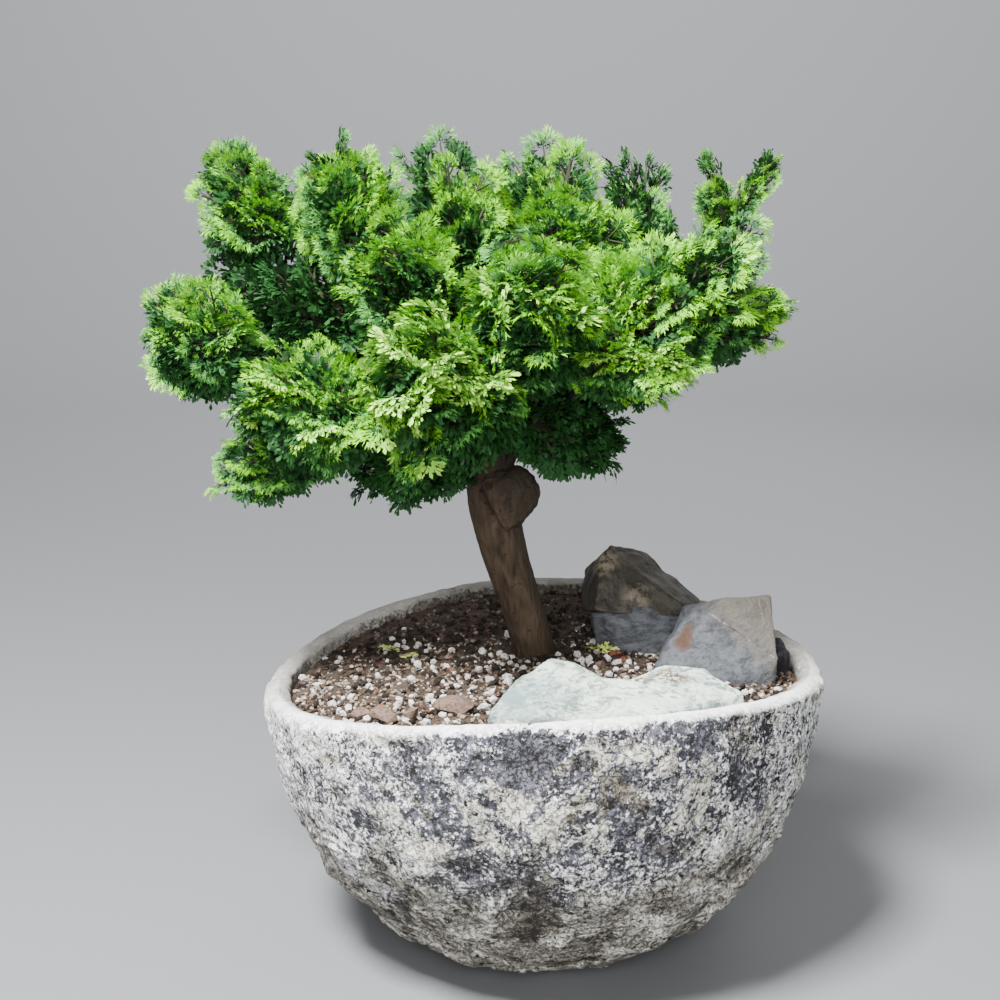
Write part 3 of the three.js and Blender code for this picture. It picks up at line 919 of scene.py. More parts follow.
# Single larger bits: X, Y, length, width and thickness of each, in millimetres
LARGER_BITS: dict[Grain, tuple[tuple[float, float, float, float, float], ...]] = {
    Grain.PEBBLE: ((-34, -68, 25, 17, 7), (-62, -67, 14, 12, 7), (-52, -71, 11, 9, 6), (-72, -58, 11, 9, 6)),
    Grain.RED: ((29, 0, 9, 7, 4), (33, -6, 7, 5, 3)),
    Grain.TAN: ((-84, -58, 8, 5, 4), (4, -18, 9, 5, 4)),
}


@dataclass
class Litter:
    """Perlite, crumbs, chips and pebbles, each kind one joined mesh."""

    soil: Soil
    seed: int = 41
    foot: tuple[float, float, float] = (-4.0, 10.0, 12.5)
    kinds: int = 8

    @staticmethod
    def shape(random: np.random.Generator, fine: bool) -> tuple[np.ndarray, np.ndarray]:
        """Makes a small uneven lump out of a ball.

        Args:
            random: The random numbers.
            fine: Whether it is a pebble with broken sides.

        Returns:
            Its points and its triangles.
        """
        Bench.clear()
        cuts = 3 if fine else 1
        bpy.ops.mesh.primitive_ico_sphere_add(subdivisions=cuts, radius=1.0, location=(0, 0, 0))
        ball = bpy.context.object
        rows = unit(Bench.points(ball))
        faces = np.array([face.vertices[:] for face in ball.data.polygons])
        bpy.data.objects.remove(ball)
        if not fine:
            return rows * random.uniform(0.62, 1.2, (len(rows), 1)), faces
        for way in unit(random.normal(0, 1, (9, 3))):
            beyond = np.maximum(0, rows @ way - random.uniform(0.45, 0.8))
            rows = rows - beyond[:, None] * way
        return rows, faces

    def spots(self, random: np.random.Generator, count: int, clumped: float, front: float) -> np.ndarray:
        """Places on the soil, thicker where the noise is high.

        Args:
            random: The random numbers.
            count: How many.
            clumped: How strongly they gather.
            front: How strongly they keep to the front.

        Returns:
            X and Y of each, in millimetres.
        """
        edge = self.soil.bowl.rim_radius - self.soil.bowl.wall - 2.5
        kept: list[tuple[float, float]] = []
        while len(kept) < count:
            x, y = random.uniform(-edge, edge, 2)
            if random.uniform(-30, 70) < y * front:
                continue
            if math.hypot(x, y) > edge or math.hypot(x - self.foot[0], y - self.foot[1]) < self.foot[2]:
                continue
            gather = noise.noise(Vector((x / 22, y / 22, clumped * 3)))
            if random.uniform(-1, 1) < gather * clumped + 1 - clumped:
                kept.append((x, y))
        return np.array(kept)

    def lay(self, rows: np.ndarray, spots: np.ndarray, ground: np.ndarray,
            random: np.random.Generator) -> np.ndarray:
        """Tips and turns bits, and lays them on the ground.

        Args:
            rows: Bits by points by XYZ, round the origin.
            spots: X and Y of each bit.
            ground: The height of each bit.
            random: The random numbers.

        Returns:
            The bits in their places, in millimetres.
        """
        turn = random.uniform(0, 2 * math.pi, len(spots))[:, None]
        tip = random.normal(0, 0.35, len(spots))[:, None]
        x = rows[..., 0] * np.cos(tip) - rows[..., 2] * np.sin(tip)
        z = rows[..., 0] * np.sin(tip) + rows[..., 2] * np.cos(tip)
        y = rows[..., 1]
        across = x * np.cos(turn) - y * np.sin(turn) + spots[:, :1]
        along = x * np.sin(turn) + y * np.cos(turn) + spots[:, 1:]
        return np.stack([across, along, z + ground[:, None]], -1)

    def build_kind(self, grain: Grain, random: np.random.Generator) -> bpy.types.Object:
        """Makes all bits of one kind.

        Args:
            grain: The kind.
            random: The random numbers.

        Returns:
            The piece.
        """
        name, colour, count, small, large, flat = grain.value
        clumped = 0.9 if grain is Grain.PERLITE else 0.35
        front = {Grain.TAN: 1.5, Grain.PERLITE: 1.1}.get(grain, 0.0)
        spots = self.spots(random, count, clumped, front)
        size = small + (large - small) * random.uniform(0, 1, count) ** 2.2
        scale = size[:, None] * np.stack([random.uniform(0.8, 1.2, count), random.uniform(0.6, 1.0, count),
                                          flat * random.uniform(0.8, 1.2, count)], 1) / 2
        for x, y, length, width, thick in LARGER_BITS.get(grain, ()):
            spots = np.vstack([spots, (x, y)])
            scale = np.vstack([scale, (length / 2, width / 2, thick / 2)])
        shapes = [self.shape(random, grain is Grain.PEBBLE) for _ in range(self.kinds)]
        pick = random.integers(0, self.kinds, len(spots))
        rows = np.array([shapes[i][0] for i in pick]) * scale[:, None, :]
        ground = self.soil.height(spots) + 0.2 + scale[:, 2] * 0.55
        piece = Bench.copies(name, self.lay(rows, spots, ground, random) * MM, shapes[0][1])
        Bench.smooth(piece, 28 if grain is Grain.PEBBLE else 1)
        return finish_piece(piece, "soil", GritFinish(name, colour).make())

    def build(self) -> list[bpy.types.Object]:
        """Makes every kind."""
        return [self.build_kind(grain, np.random.default_rng(self.seed + i)) for i, grain in enumerate(Grain)]


# Stones

@dataclass
class Stone:
    """A broken stone: the hull of its corners, with bevelled edges and a rough face."""

    name: str
    node: str
    slot: str
    corners: list[Point]
    finish: Any
    edge: float = 0.9
    relief: float = 0.8
    cuts: int = 4
    chips: tuple[tuple[Point, Point], ...] = ()
    hollows: tuple[tuple[Point, float, Point], ...] = ()

    def build(self) -> bpy.types.Object:
        """Makes the stone.

        Returns:
            The piece.
        """
        Bench.clear()
        bpy.ops.mesh.primitive_circle_add(vertices=len(self.corners), radius=0.01, location=(0, 0, 0))
        piece = bpy.context.object
        piece.name = self.name
        Bench.set_points(piece, np.array(self.corners) * MM)
        bpy.ops.object.mode_set(mode="EDIT")
        bpy.ops.mesh.select_all(action="SELECT")
        bpy.ops.mesh.convex_hull()
        bpy.ops.mesh.select_all(action="SELECT")
        bpy.ops.mesh.dissolve_limited(angle_limit=math.radians(9))
        for place, way in self.chips:
            bpy.ops.mesh.select_all(action="SELECT")
            bpy.ops.mesh.bisect(plane_co=Vector(place) * MM, plane_no=way, use_fill=True, clear_outer=True)
        bpy.ops.mesh.select_all(action="SELECT")
        bpy.ops.mesh.bevel(offset=self.edge * MM, segments=2, affect="EDGES")
        bpy.ops.mesh.quads_convert_to_tris(quad_method="BEAUTY", ngon_method="BEAUTY")
        for _ in range(self.cuts):
            bpy.ops.mesh.select_all(action="SELECT")
            bpy.ops.mesh.subdivide(number_cuts=1)
        bpy.ops.mesh.normals_make_consistent(inside=False)
        bpy.ops.object.mode_set(mode="OBJECT")
        Bench.keep(piece, "edge", Bench.bend(piece))
        rows = Bench.points(piece) / MM
        chips = rough(rows, 1 / 14, 2, 4.0) + 0.4 * rough(rows, 1 / 4.5, 3, 8.0)
        rows += Bench.normals(piece) * (chips * self.relief)[:, None]
        for centre, radius, move in self.hollows:
            gap = np.linalg.norm(rows - np.array(centre), axis=1)
            rows += np.outer(np.clip(1 - gap / radius, 0, 1) ** 0.8, move)
        Bench.set_points(piece, rows * MM)
        Bench.smooth(piece, 24)
        return finish_piece(piece, self.slot, self.finish.make(), self.node)


# Every stone, by corners, finish, edge, relief, cuts, chips (place, way) and hollows (place, radius, move)
STONES = [
    Stone("pale_slab", "stone_pale", "pale_stone", [
        (-24, -90, 112), (-20, -62, 112), (8, -42, 112), (70, -46, 108), (76, -72, 110), (30, -95, 114),
        (-22, -86, 123), (-12, -62, 127), (2, -46, 131), (40, -48, 128), (62, -45, 127), (74, -66, 123),
        (40, -92, 124), (-4, -93, 124)], PaleStoneFinish(), 1.2, 1.0, 4, (),
        (((27, -46, 129), 17, (0, -5, -7)), ((10, -84, 126), 14, (0, 0, -2)),
         ((52, -80, 125), 10, (0, 0, -1.5)))),
    Stone("ridge_foot", "stone_ridge", "ridge_stone", [
        (23, 15, 110), (40, 5, 110), (66, 9, 110), (62, 50, 110), (28, 54, 110), (21, 18, 134), (22, 44, 137),
        (64, 20, 131), (62, 46, 131), (40, 14, 135), (33, 8, 121), (58, 9, 122)],
        SlateFaceFinish(), 0.8, 1.3, 4,
        (((25, 14, 124), (-0.72, -0.62, 0.30)), ((52, 9, 127), (0.25, -0.80, 0.55)))),
    Stone("ridge_top", "stone_ridge", "ridge_stone", [
        (17.5, 20, 132), (20, 44, 136), (19, 40, 146), (25, 25, 154), (30, 32, 158.5), (46, 38, 153),
        (69, 34, 133), (42, 8, 141), (64, 12, 131), (22, 11, 134), (60, 46, 131), (43, 9, 134.5)],
        BrownRockFinish(), 0.6, 1.1, 4,
        (((52, 22, 146), (0.45, -0.35, 0.82)), ((24, 19, 148), (-0.7, -0.6, 0.4)),
         ((31, 22, 150), (0.15, -0.85, 0.5)), ((32, 10, 134), (-0.15, -0.55, -0.82)))),
    Stone("grey_block", "stone_grey", "grey_stone", [
        (42, -30, 108), (93, -30, 108), (95, 2, 108), (50, 6, 108), (44, -26, 123), (58, -20, 139),
        (76, -14, 147), (93, -8, 146), (94, -24, 124), (94, 0, 140), (58, 2, 139), (70, -34, 116)],
        GreyStoneFinish(), 0.7, 0.9, 4,
        (((63, -20, 138), (-0.55, -0.55, 0.63)), ((92, -25, 126), (0.62, -0.77, 0.15)),
         ((86, -12, 145.5), (0.1, -0.45, 0.89)), ((52, -29, 118), (-0.6, -0.78, 0.2)))),
    Stone("dark_lump", "stone_dark", "dark_stone", [
        (97, -8, 106), (102, -4, 106), (101, 12, 106), (96.5, 16, 106), (96.5, -9, 121), (103, -4, 121),
        (101, 11, 123), (96.5, 14, 122)], DarkStoneFinish(), 1.2, 0.8, 3),
]


# Limbs

class Curve:
    """A line sampled evenly along its length, in millimetres."""

    def __init__(self, rows: np.ndarray, radii: np.ndarray) -> None:
        """Keeps samples of the line.

        Args:
            rows: Points along it.
            radii: Its radius at each point.
        """
        steps = np.linalg.norm(np.diff(rows, axis=0), axis=1)
        self.shares = np.concatenate([[0], np.cumsum(steps)]) / steps.sum()
        self.length = float(steps.sum())
        self.rows = rows
        self.radii = radii

    def at(self, share: Any) -> np.ndarray:
        """Points at shares of the length."""
        return np.stack([np.interp(share, self.shares, self.rows[:, k]) for k in range(3)], -1)

    def radius(self, share: Any) -> np.ndarray:
        """Radii at shares of the length."""
        return np.interp(share, self.shares, self.radii)

    @classmethod
    def through(cls, knots: Sequence[tuple[Point, float]], samples: int = 30) -> "Curve":
        """Draws a smooth line through knots.

        Args:
            knots: Point and radius of each knot.
            samples: Samples between two knots.

        Returns:
            The line.
        """
        points = np.array([k[0] for k in knots], dtype=float)
        radii = np.array([k[1] for k in knots], dtype=float)
        padded = np.vstack([2 * points[0] - points[1], points, 2 * points[-1] - points[-2]])
        rows, wide = [], []
        for i in range(len(points) - 1):
            a, b, c, d = padded[i:i + 4]
            for t in np.linspace(0, 1, samples, endpoint=i == len(points) - 2):
                rows.append(0.5 * (2 * b + (c - a) * t + (2 * a - 5 * b + 4 * c - d) * t ** 2
                                   + (3 * b - a - 3 * c + d) * t ** 3))
                wide.append(radii[i] + (radii[i + 1] - radii[i]) * t)
        return cls(np.array(rows), np.array(wide))

    @classmethod
    def bent(cls, start: np.ndarray, leave: np.ndarray, enter: np.ndarray, end: np.ndarray,
             base: float, tip: float) -> "Curve":
        """Draws a cubic bend.

        Args:
            start: Where it begins.
            leave: The point that it leaves towards.
            enter: The point that it arrives from.
            end: Where it ends.
            base: Its first radius.
            tip: Its last radius.

        Returns:
            The bend.
        """
        t = np.linspace(0, 1, 60)[:, None]
        rows = (1 - t) ** 3 * start + 3 * (1 - t) ** 2 * t * leave
        rows = rows + 3 * (1 - t) * t ** 2 * enter + t ** 3 * end
        made = cls(rows, np.zeros(60))
        made.radii = base + (tip - base) * made.shares
        return made

    def frames(self, shares: np.ndarray) -> tuple[np.ndarray, np.ndarray]:
        """Works out two directions across the line, carried along without a twist.

        Args:
            shares: Shares of its length.

        Returns:
            The first and the second direction at each share.
        """
        ahead = unit(self.at(np.minimum(1, shares + 0.01)) - self.at(np.maximum(0, shares - 0.01)))
        side = np.cross(ahead[0], (0, 1, 0) if abs(ahead[0][1]) < 0.8 else (1, 0, 0))
        across = []
        for way in ahead:
            side = unit(side - way * float(side @ way))
            across.append(side)
        first = np.array(across)
        return first, np.cross(ahead, first)


@dataclass
class Limb:
    """A bark-covered limb: a stack of rings laid along a curve, with relief."""

    name: str
    curve: Curve
    sides: int
    rings: int
    furrow: float
    nodes: tuple[str, ...]
    flare: float = 0.0

    def build(self, bark: bpy.types.Material) -> bpy.types.Object:
        """Makes the limb.

        Args:
            bark: Its material.

        Returns:
            The piece.
        """
        profile = [(0.001, i * 0.001) for i in range(self.rings + 1)]
        piece = Bench.ring_stack(self.name, self.sides, profile)
        rows = Bench.points(piece)
        shares = np.clip(np.round(rows[:, 2] / 0.001).astype(int), 0, self.rings) / self.rings
        angle = np.arctan2(rows[:, 1], rows[:, 0])
        levels = np.arange(self.rings + 1) / self.rings
        first, second = self.curve.frames(levels)
        step = np.round(shares * self.rings).astype(int)
        out = first[step] * np.cos(angle)[:, None] + second[step] * np.sin(angle)[:, None]
        radius = self.curve.radius(shares)
        centre = self.curve.at(shares)
        skin = centre + out * radius[:, None]
        along = np.stack([np.cos(angle) * radius * 0.55, np.sin(angle) * radius * 0.55,
                          shares * self.curve.length / 9], 1)
        strips = rough(along, 1.0, 3, float(len(self.name)))
        lumps = rough(skin, 1 / 10, 2, 6.0)
        relief = 0.75 * strips + 0.5 * lumps
        swell = 1 + self.flare * np.exp(-shares * 16) * np.cos(3 * angle + 0.8)
        skin = centre + out * (radius * swell + self.furrow * relief)[:, None]
        Bench.set_points(piece, skin * MM)
        Bench.keep(piece, "relief", np.clip(0.5 + 0.5 * relief, 0, 1))
        Bench.clear()
        piece.select_set(True)
        bpy.context.view_layer.objects.active = piece
        bpy.ops.object.mode_set(mode="EDIT")
        bpy.ops.mesh.select_all(action="SELECT")
        bpy.ops.mesh.normals_make_consistent(inside=False)
        bpy.ops.object.mode_set(mode="OBJECT")
        Bench.smooth(piece, 60)
        return finish_piece(piece, "bark", bark, *self.nodes)


@dataclass
class Knot:
    """The healed burl on the trunk, grown over a crease on its lower left."""

    at: Point = (-15.6, -1.2, 187.5)
    size: Point = (13.6, 11.2, 12.6)

    def build(self, bark: bpy.types.Material) -> bpy.types.Object:
        """Makes the knot.

        Args:
            bark: Its material.

        Returns:
            The piece.
        """
        Bench.clear()
        bpy.ops.mesh.primitive_ico_sphere_add(subdivisions=6, radius=1.0, location=(0, 0, 0))
        piece = bpy.context.object
        piece.name = "trunk_knot"
        ways = unit(Bench.points(piece))
        folds = rough(ways, 2.2, 4, 3.0)
        swirl = rough(ways * (1, 1, 0.35) + (0, 0, 0.4) * ways[:, :1], 7.0, 3, 11.0)
        slant = -0.90 * ways[:, 0] - 0.43 * ways[:, 2] + 0.07 * folds
        crease = np.exp(-((slant - 0.60) / 0.065) ** 2) * (ways[:, 1] < 0.1)
        beyond = np.clip((slant - 0.66) / 0.1, 0, 1)
        hollow = np.exp(-(((ways[:, 0] - 0.05) / 0.35) ** 2 + ((ways[:, 2] - 0.95) / 0.22) ** 2))
        scale = 1 - 0.13 * crease - 0.09 * beyond - 0.12 * hollow + 0.075 * folds + 0.022 * swirl
        drawn = np.clip(-ways[:, 2], 0, 1)
        egg = np.stack([1 - 0.25 * drawn ** 2, 1 - 0.1 * drawn, 1 + 0.3 * drawn], 1)
        rows = ways * np.array(self.size) * scale[:, None] * egg + np.array(self.at)
        Bench.set_points(piece, rows * MM)
        # Painted shade: the crease and the hollow are made darker through the kept relief that the bark
        # colour reads.
        relief = 0.5 + 0.25 * folds + 0.3 * swirl - 0.8 * crease - 0.6 * hollow
        Bench.keep(piece, "relief", np.clip(relief, 0, 1))
        Bench.smooth(piece, 60)
        return finish_piece(piece, "bark", bark, "trunk")


# Crown

# The trunk's line, as points and radii in millimetres
TRUNK_LINE: list[tuple[Point, float]] = [
    ((-3, 10.5, 110), 10.4), ((-4.5, 9.5, 121), 8.7), ((-9, 8, 138), 8.6), ((-15, 6, 157), 9.2),
    ((-19.5, 4, 176), 10.4), ((-21, 3, 190), 10.8), ((-20.5, 4, 204), 8.4), ((-12, 5, 222), 4.8),
    ((-5, 6, 240), 3.6), ((1, 8, 254), 2.8), ((3, 9, 268), 2)]


@dataclass
class Mass:
    """One mass of foliage: its bough's parent and start, its root, tip and girth in mm, and its painted
    light, a shift to the tones its sprays are dealt.
    """

    name: str
    parent: str
    start: float
    root: Point
    tip: Point
    girth: float
    light: float = 0.0
    behind: float = 0.3
    swell: float = 1.2

    def __post_init__(self) -> None:
        """Works out the space that the mass keeps to."""
        root, tip = np.array(self.root, float), np.array(self.tip, float)
        rear = root - (tip - root) * self.behind
        self.axis = unit(tip - rear)
        self.centre = (rear + tip) / 2
        self.half = float(np.linalg.norm(tip - rear)) / 2
        self.across = self.girth * self.swell
        self.planes: list[tuple[np.ndarray, float]] = []

    def reach(self, way: np.ndarray) -> float:
        """How far the space goes in a direction."""
        along = float(way @ self.axis)
        return math.hypot(self.half * along, self.across * math.sqrt(max(0.0, 1 - along * along)))

    def part(self, others: Sequence["Mass"]) -> None:
        """Sets the planes that part this mass from the others.

        Args:
            others: All masses.
        """
        for other in others:
            if other is self:
                continue
            way = other.centre - self.centre
            apart = float(np.linalg.norm(way))
            way = way / apart
            mine, theirs = self.reach(way), other.reach(way)
            self.planes.append((way, apart * mine / (mine + theirs)))

    def draw_in(self, point: np.ndarray) -> tuple[np.ndarray, float]:
        """Draws a point in to the parting planes.

        Args:
            point: A point on the surface.

        Returns:
            The point, and the share of its distance that is left.
        """
        out = point - self.centre
        share = min([1.0] + [limit / max(limit, float(out @ way)) for way, limit in self.planes])
        return self.centre + out * share, share

    def facing(self, point: np.ndarray) -> np.ndarray:
        """Works out the way that the surface faces.

        Args:
            point: A point on the surface.

        Returns:
            The direction.
        """
        out = point - self.centre
        along = self.axis * float(out @ self.axis)
        return unit(along / self.half ** 2 + (out - along) / self.across ** 2)

    def skin(self, along: float, angle: float) -> np.ndarray:
        """Finds a point on the surface.

        Args:
            along: Its place along the axis, from -1 at the rear to 1 at the tip.
            angle: Its angle round the axis.

        Returns:
            The point.
        """
        side = unit(np.array([self.axis[1], -self.axis[0], 0.0]))
        other = np.cross(self.axis, side)
        out = side * math.cos(angle) + other * math.sin(angle)
        wide = self.across * math.sqrt(max(0.0, 1 - along ** 2))
        return self.centre + self.axis * self.half * along + out * wide


# Every mass, by name, parent, start of its bough on the parent, root, tip, girth and painted light
CROWN = [
    Mass("far_left", "trunk", 0.62, (-127, -5, 247), (-160, -12, 259), 22.5, -0.34),
    Mass("left_inner", "far_left", 0.42, (-83, 14, 254), (-145, 26, 287), 21.5, -1.3),
    Mass("upper_mid", "trunk", 0.7, (-76, 15, 283), (-84, 12, 332), 21.5, -0.34),
    Mass("upper_left", "upper_mid", 0.6, (-114, 20, 289), (-133, 24, 328), 18, -0.32),
    Mass("mid_left_high", "trunk", 0.76, (-46, -10, 255), (-66, -45, 301), 22, -0.34),
    Mass("left_low", "trunk", 0.575, (-79, -20, 222), (-124, -45, 239), 23, 0.02),
    Mass("left_drop", "left_low", 0.55, (-96, -8, 208), (-135, -15, 192), 14, 0.12),
    Mass("under_left", "trunk", 0.48, (-38, -6, 203), (-84, -6, 199), 15.5, -0.15),
    Mass("front_mid", "trunk", 0.57, (-29, -30, 229), (-61, -95, 257), 27, 0.04),
    Mass("front_high", "trunk", 0.83, (-8, -20, 250), (-4, -80, 287), 23, -0.20),
    Mass("crest_left", "trunk", 0.89, (-34, 5, 278), (-40, 0, 327), 19, -0.24),
    Mass("crest_right", "trunk", 1, (3, 9, 268), (7, 10, 327), 26, -0.12),
    Mass("crest_far_right", "trunk", 0.92, (41, 22, 268), (40, 33, 321), 15, -0.75),
    Mass("right_tip", "trunk", 0.65, (59, 0, 255), (102, 0, 261), 15),
    Mass("right_low", "right_tip", 0.25, (20, -25, 242), (60, -60, 252), 14.5, 0.32),
    Mass("right_main", "trunk", 0.79, (27, -15, 256), (88, -28, 290), 24.5, -0.08),
    Mass("horn_in", "right_tip", 0.62, (75, 3, 286), (64, -4, 327), 8, 0.08),
    Mass("horn_out", "horn_in", 0.8, (76, 4, 300), (93, 8, 325), 6, -0.30),
    Mass("under_right", "trunk", 0.52, (-5, -5, 216), (40, 3, 209), 17, -0.50),
    Mass("back_left", "trunk", 0.64, (-69, 40, 242), (-139, 75, 247), 26),
    Mass("back_mid", "trunk", 0.72, (-37, 45, 241), (-65, 118, 271), 29),
    Mass("back_mid_right", "trunk", 0.68, (1, 45, 237), (24, 113, 256), 29),
    Mass("back_right", "trunk", 0.6, (24, 30, 246), (80, 70, 261), 23.5),
    Mass("back_crest", "trunk", 0.845, (-12, 32, 278), (-13, 46, 323), 21, -0.10),
]


# Upright leaders that stand out of a mass, by where each one ends
LEADERS: dict[str, tuple[Point, ...]] = {
    "far_left": ((-149, -8, 275), (-159, -8, 268), (-161, -8, 254), (-158, -8, 242)),
    "left_inner": ((-139, 20, 280),),
    "upper_left": ((-127, 22, 331), (-141, 22, 317), (-103, 20, 314), (-133, 20, 328)),
    "upper_mid": ((-82, 13, 334), (-96, 13, 326), (-102, 15, 308), (-101, 15, 295), (-100, 10, 319)),
    "left_low": ((-122, -30, 214), (-126, -36, 226)),
    "left_drop": ((-134, -14, 200),),
    "crest_left": ((-61, 2, 326), (-43, 3, 335)),
    "crest_right": ((-2, 10, 334), (13, 10, 331), (-16, 20, 326), (-26, 8, 320), (-7, 8, 324),
                    (-22, -35, 288), (-2, -38, 286)),
    "crest_far_right": ((43, 32, 326), (26, 25, 322), (35, 30, 327), (50, 31, 321)),
    "right_main": ((85, -4, 294), (89, -5, 286), (87, -3, 301)),
    "right_tip": ((102, 0, 264), (95, 0, 268)),
    "horn_in": ((62, -4, 326), (69, -2, 314), (59, 0, 310)),
    "horn_out": ((93, 8, 323), (84, 4, 314)),
    "back_crest": ((-15, 46, 326),),
    "back_mid": ((-50, 90, 296),),
}


class Leaf(Enum):
    """Plain leaf colours, from the lit tips to the shaded inside: painted light and shade dealt out by how
    lit each spray would be, over the leaves' own paler tips and darker inner parts.
    """

    PALE = ("pale_tips", (0.275, 0.52, 0.075))
    FRESH = ("fresh_leaves", (0.180, 0.44, 0.040))
    LIME = ("lime_tips", (0.155, 0.43, 0.010))
    BRIGHT = ("bright_leaves", (0.142, 0.40, 0.024))
    GREEN = ("green_leaves", (0.080, 0.255, 0.050))
    MID = ("mid_leaves", (0.036, 0.125, 0.022))
    DEEP = ("deep_leaves", (0.013, 0.054, 0.012))
    SHADE = ("shade_leaves", (0.004, 0.016, 0.005))


@dataclass
class SprayPattern:
    """A flat fan of scale leaves: branchlets off one rib, and blunt lobes along them."""

    seed: int
    pairs: int = 5
    lobe_length: float = 0.27
    lobe_width: float = 0.105
    steps: tuple[tuple[float, float], ...] = ((0.26, 0.62), (0.42, -0.56), (0.58, 0.50), (0.74, -0.04))
    forked: bool = False

    def lobe(self, random: np.random.Generator, place: tuple[float, float], angle: float,
             size: float) -> np.ndarray:
        """Makes one lobe, blunt or forked in two points.

        Args:
            random: The random numbers.
            place: Where it grows from, in X and Y.
            angle: Where it points.
            size: Its size, 1 for a usual one.

        Returns:
            Its four corners.
        """
        length, half = self.lobe_length * size, self.lobe_width * random.uniform(0.42, 0.60)
        tilt, lift = random.normal(0, 0.4), random.normal(0.06, 0.18)
        flat = np.array([(0, 0.0), (0.62 * length, half), (length, 0.12 * half), (0.74 * length, -half)])
        if self.forked:
            flat = np.array([(0, 0.0), (1.12 * length, 1.25 * half), (0.52 * length, 0.1 * half),
                             (0.94 * length, -1.35 * half)])
        turn = np.array([[math.cos(angle), math.sin(angle)], [-math.sin(angle), math.cos(angle)]])
        rise = flat[:, 1] * math.sin(tilt) + flat[:, 0] * lift + random.normal(0, 0.015)
        return np.roll(np.column_stack([flat @ turn + place, rise])[::-1], 1, axis=0)

    def lobes(self) -> tuple[np.ndarray, np.ndarray]:
        """Makes the fan, one unit long along X and flat in X and Y.

        Returns:
            The lobes' corners, and how far out each lobe lies.
        """
        random = np.random.default_rng(self.seed)
        made = []
        for i in range(self.pairs):
            for side in (1, -1):
                angle = side * math.radians(random.uniform(24, 44))
                reach = (0.56 - 0.06 * abs(i - 1) ** 1.3) * random.uniform(0.85, 1.15)
                root = 0.08 + 0.60 * i / self.pairs + (0.06 if side > 0 else 0.0)
                for share, lean in self.steps[max(0, i - 1):]:
                    place = (root + reach * share * math.cos(angle), reach * share * math.sin(angle))
                    turn = angle + side * lean + random.normal(0, 0.13)
                    made.append(self.lobe(random, place, turn, random.uniform(0.85, 1.15)))
        for x, lean in ((0.56, 0.42), (0.60, -0.44), (0.69, 0.02)):
            made.append(self.lobe(random, (x, 0.0), lean + random.normal(0, 0.1), 1.1))
        rows = np.array(made)
        return rows, np.hypot(rows[..., 0].mean(1), rows[..., 1].mean(1))


@dataclass(frozen=True)
class Spray:
    """One spray in the crown: where it grows, points and faces, its length, its pattern and its tone, the
    painted light that it is dealt.
    """

    root: np.ndarray
    ahead: np.ndarray
    face: np.ndarray
    length: float
    pattern: int
    tone: int


@dataclass(frozen=True)
class Twig:
    """One tapering twig between two points."""

    start: np.ndarray
    end: np.ndarray
    base: float
    tip: float


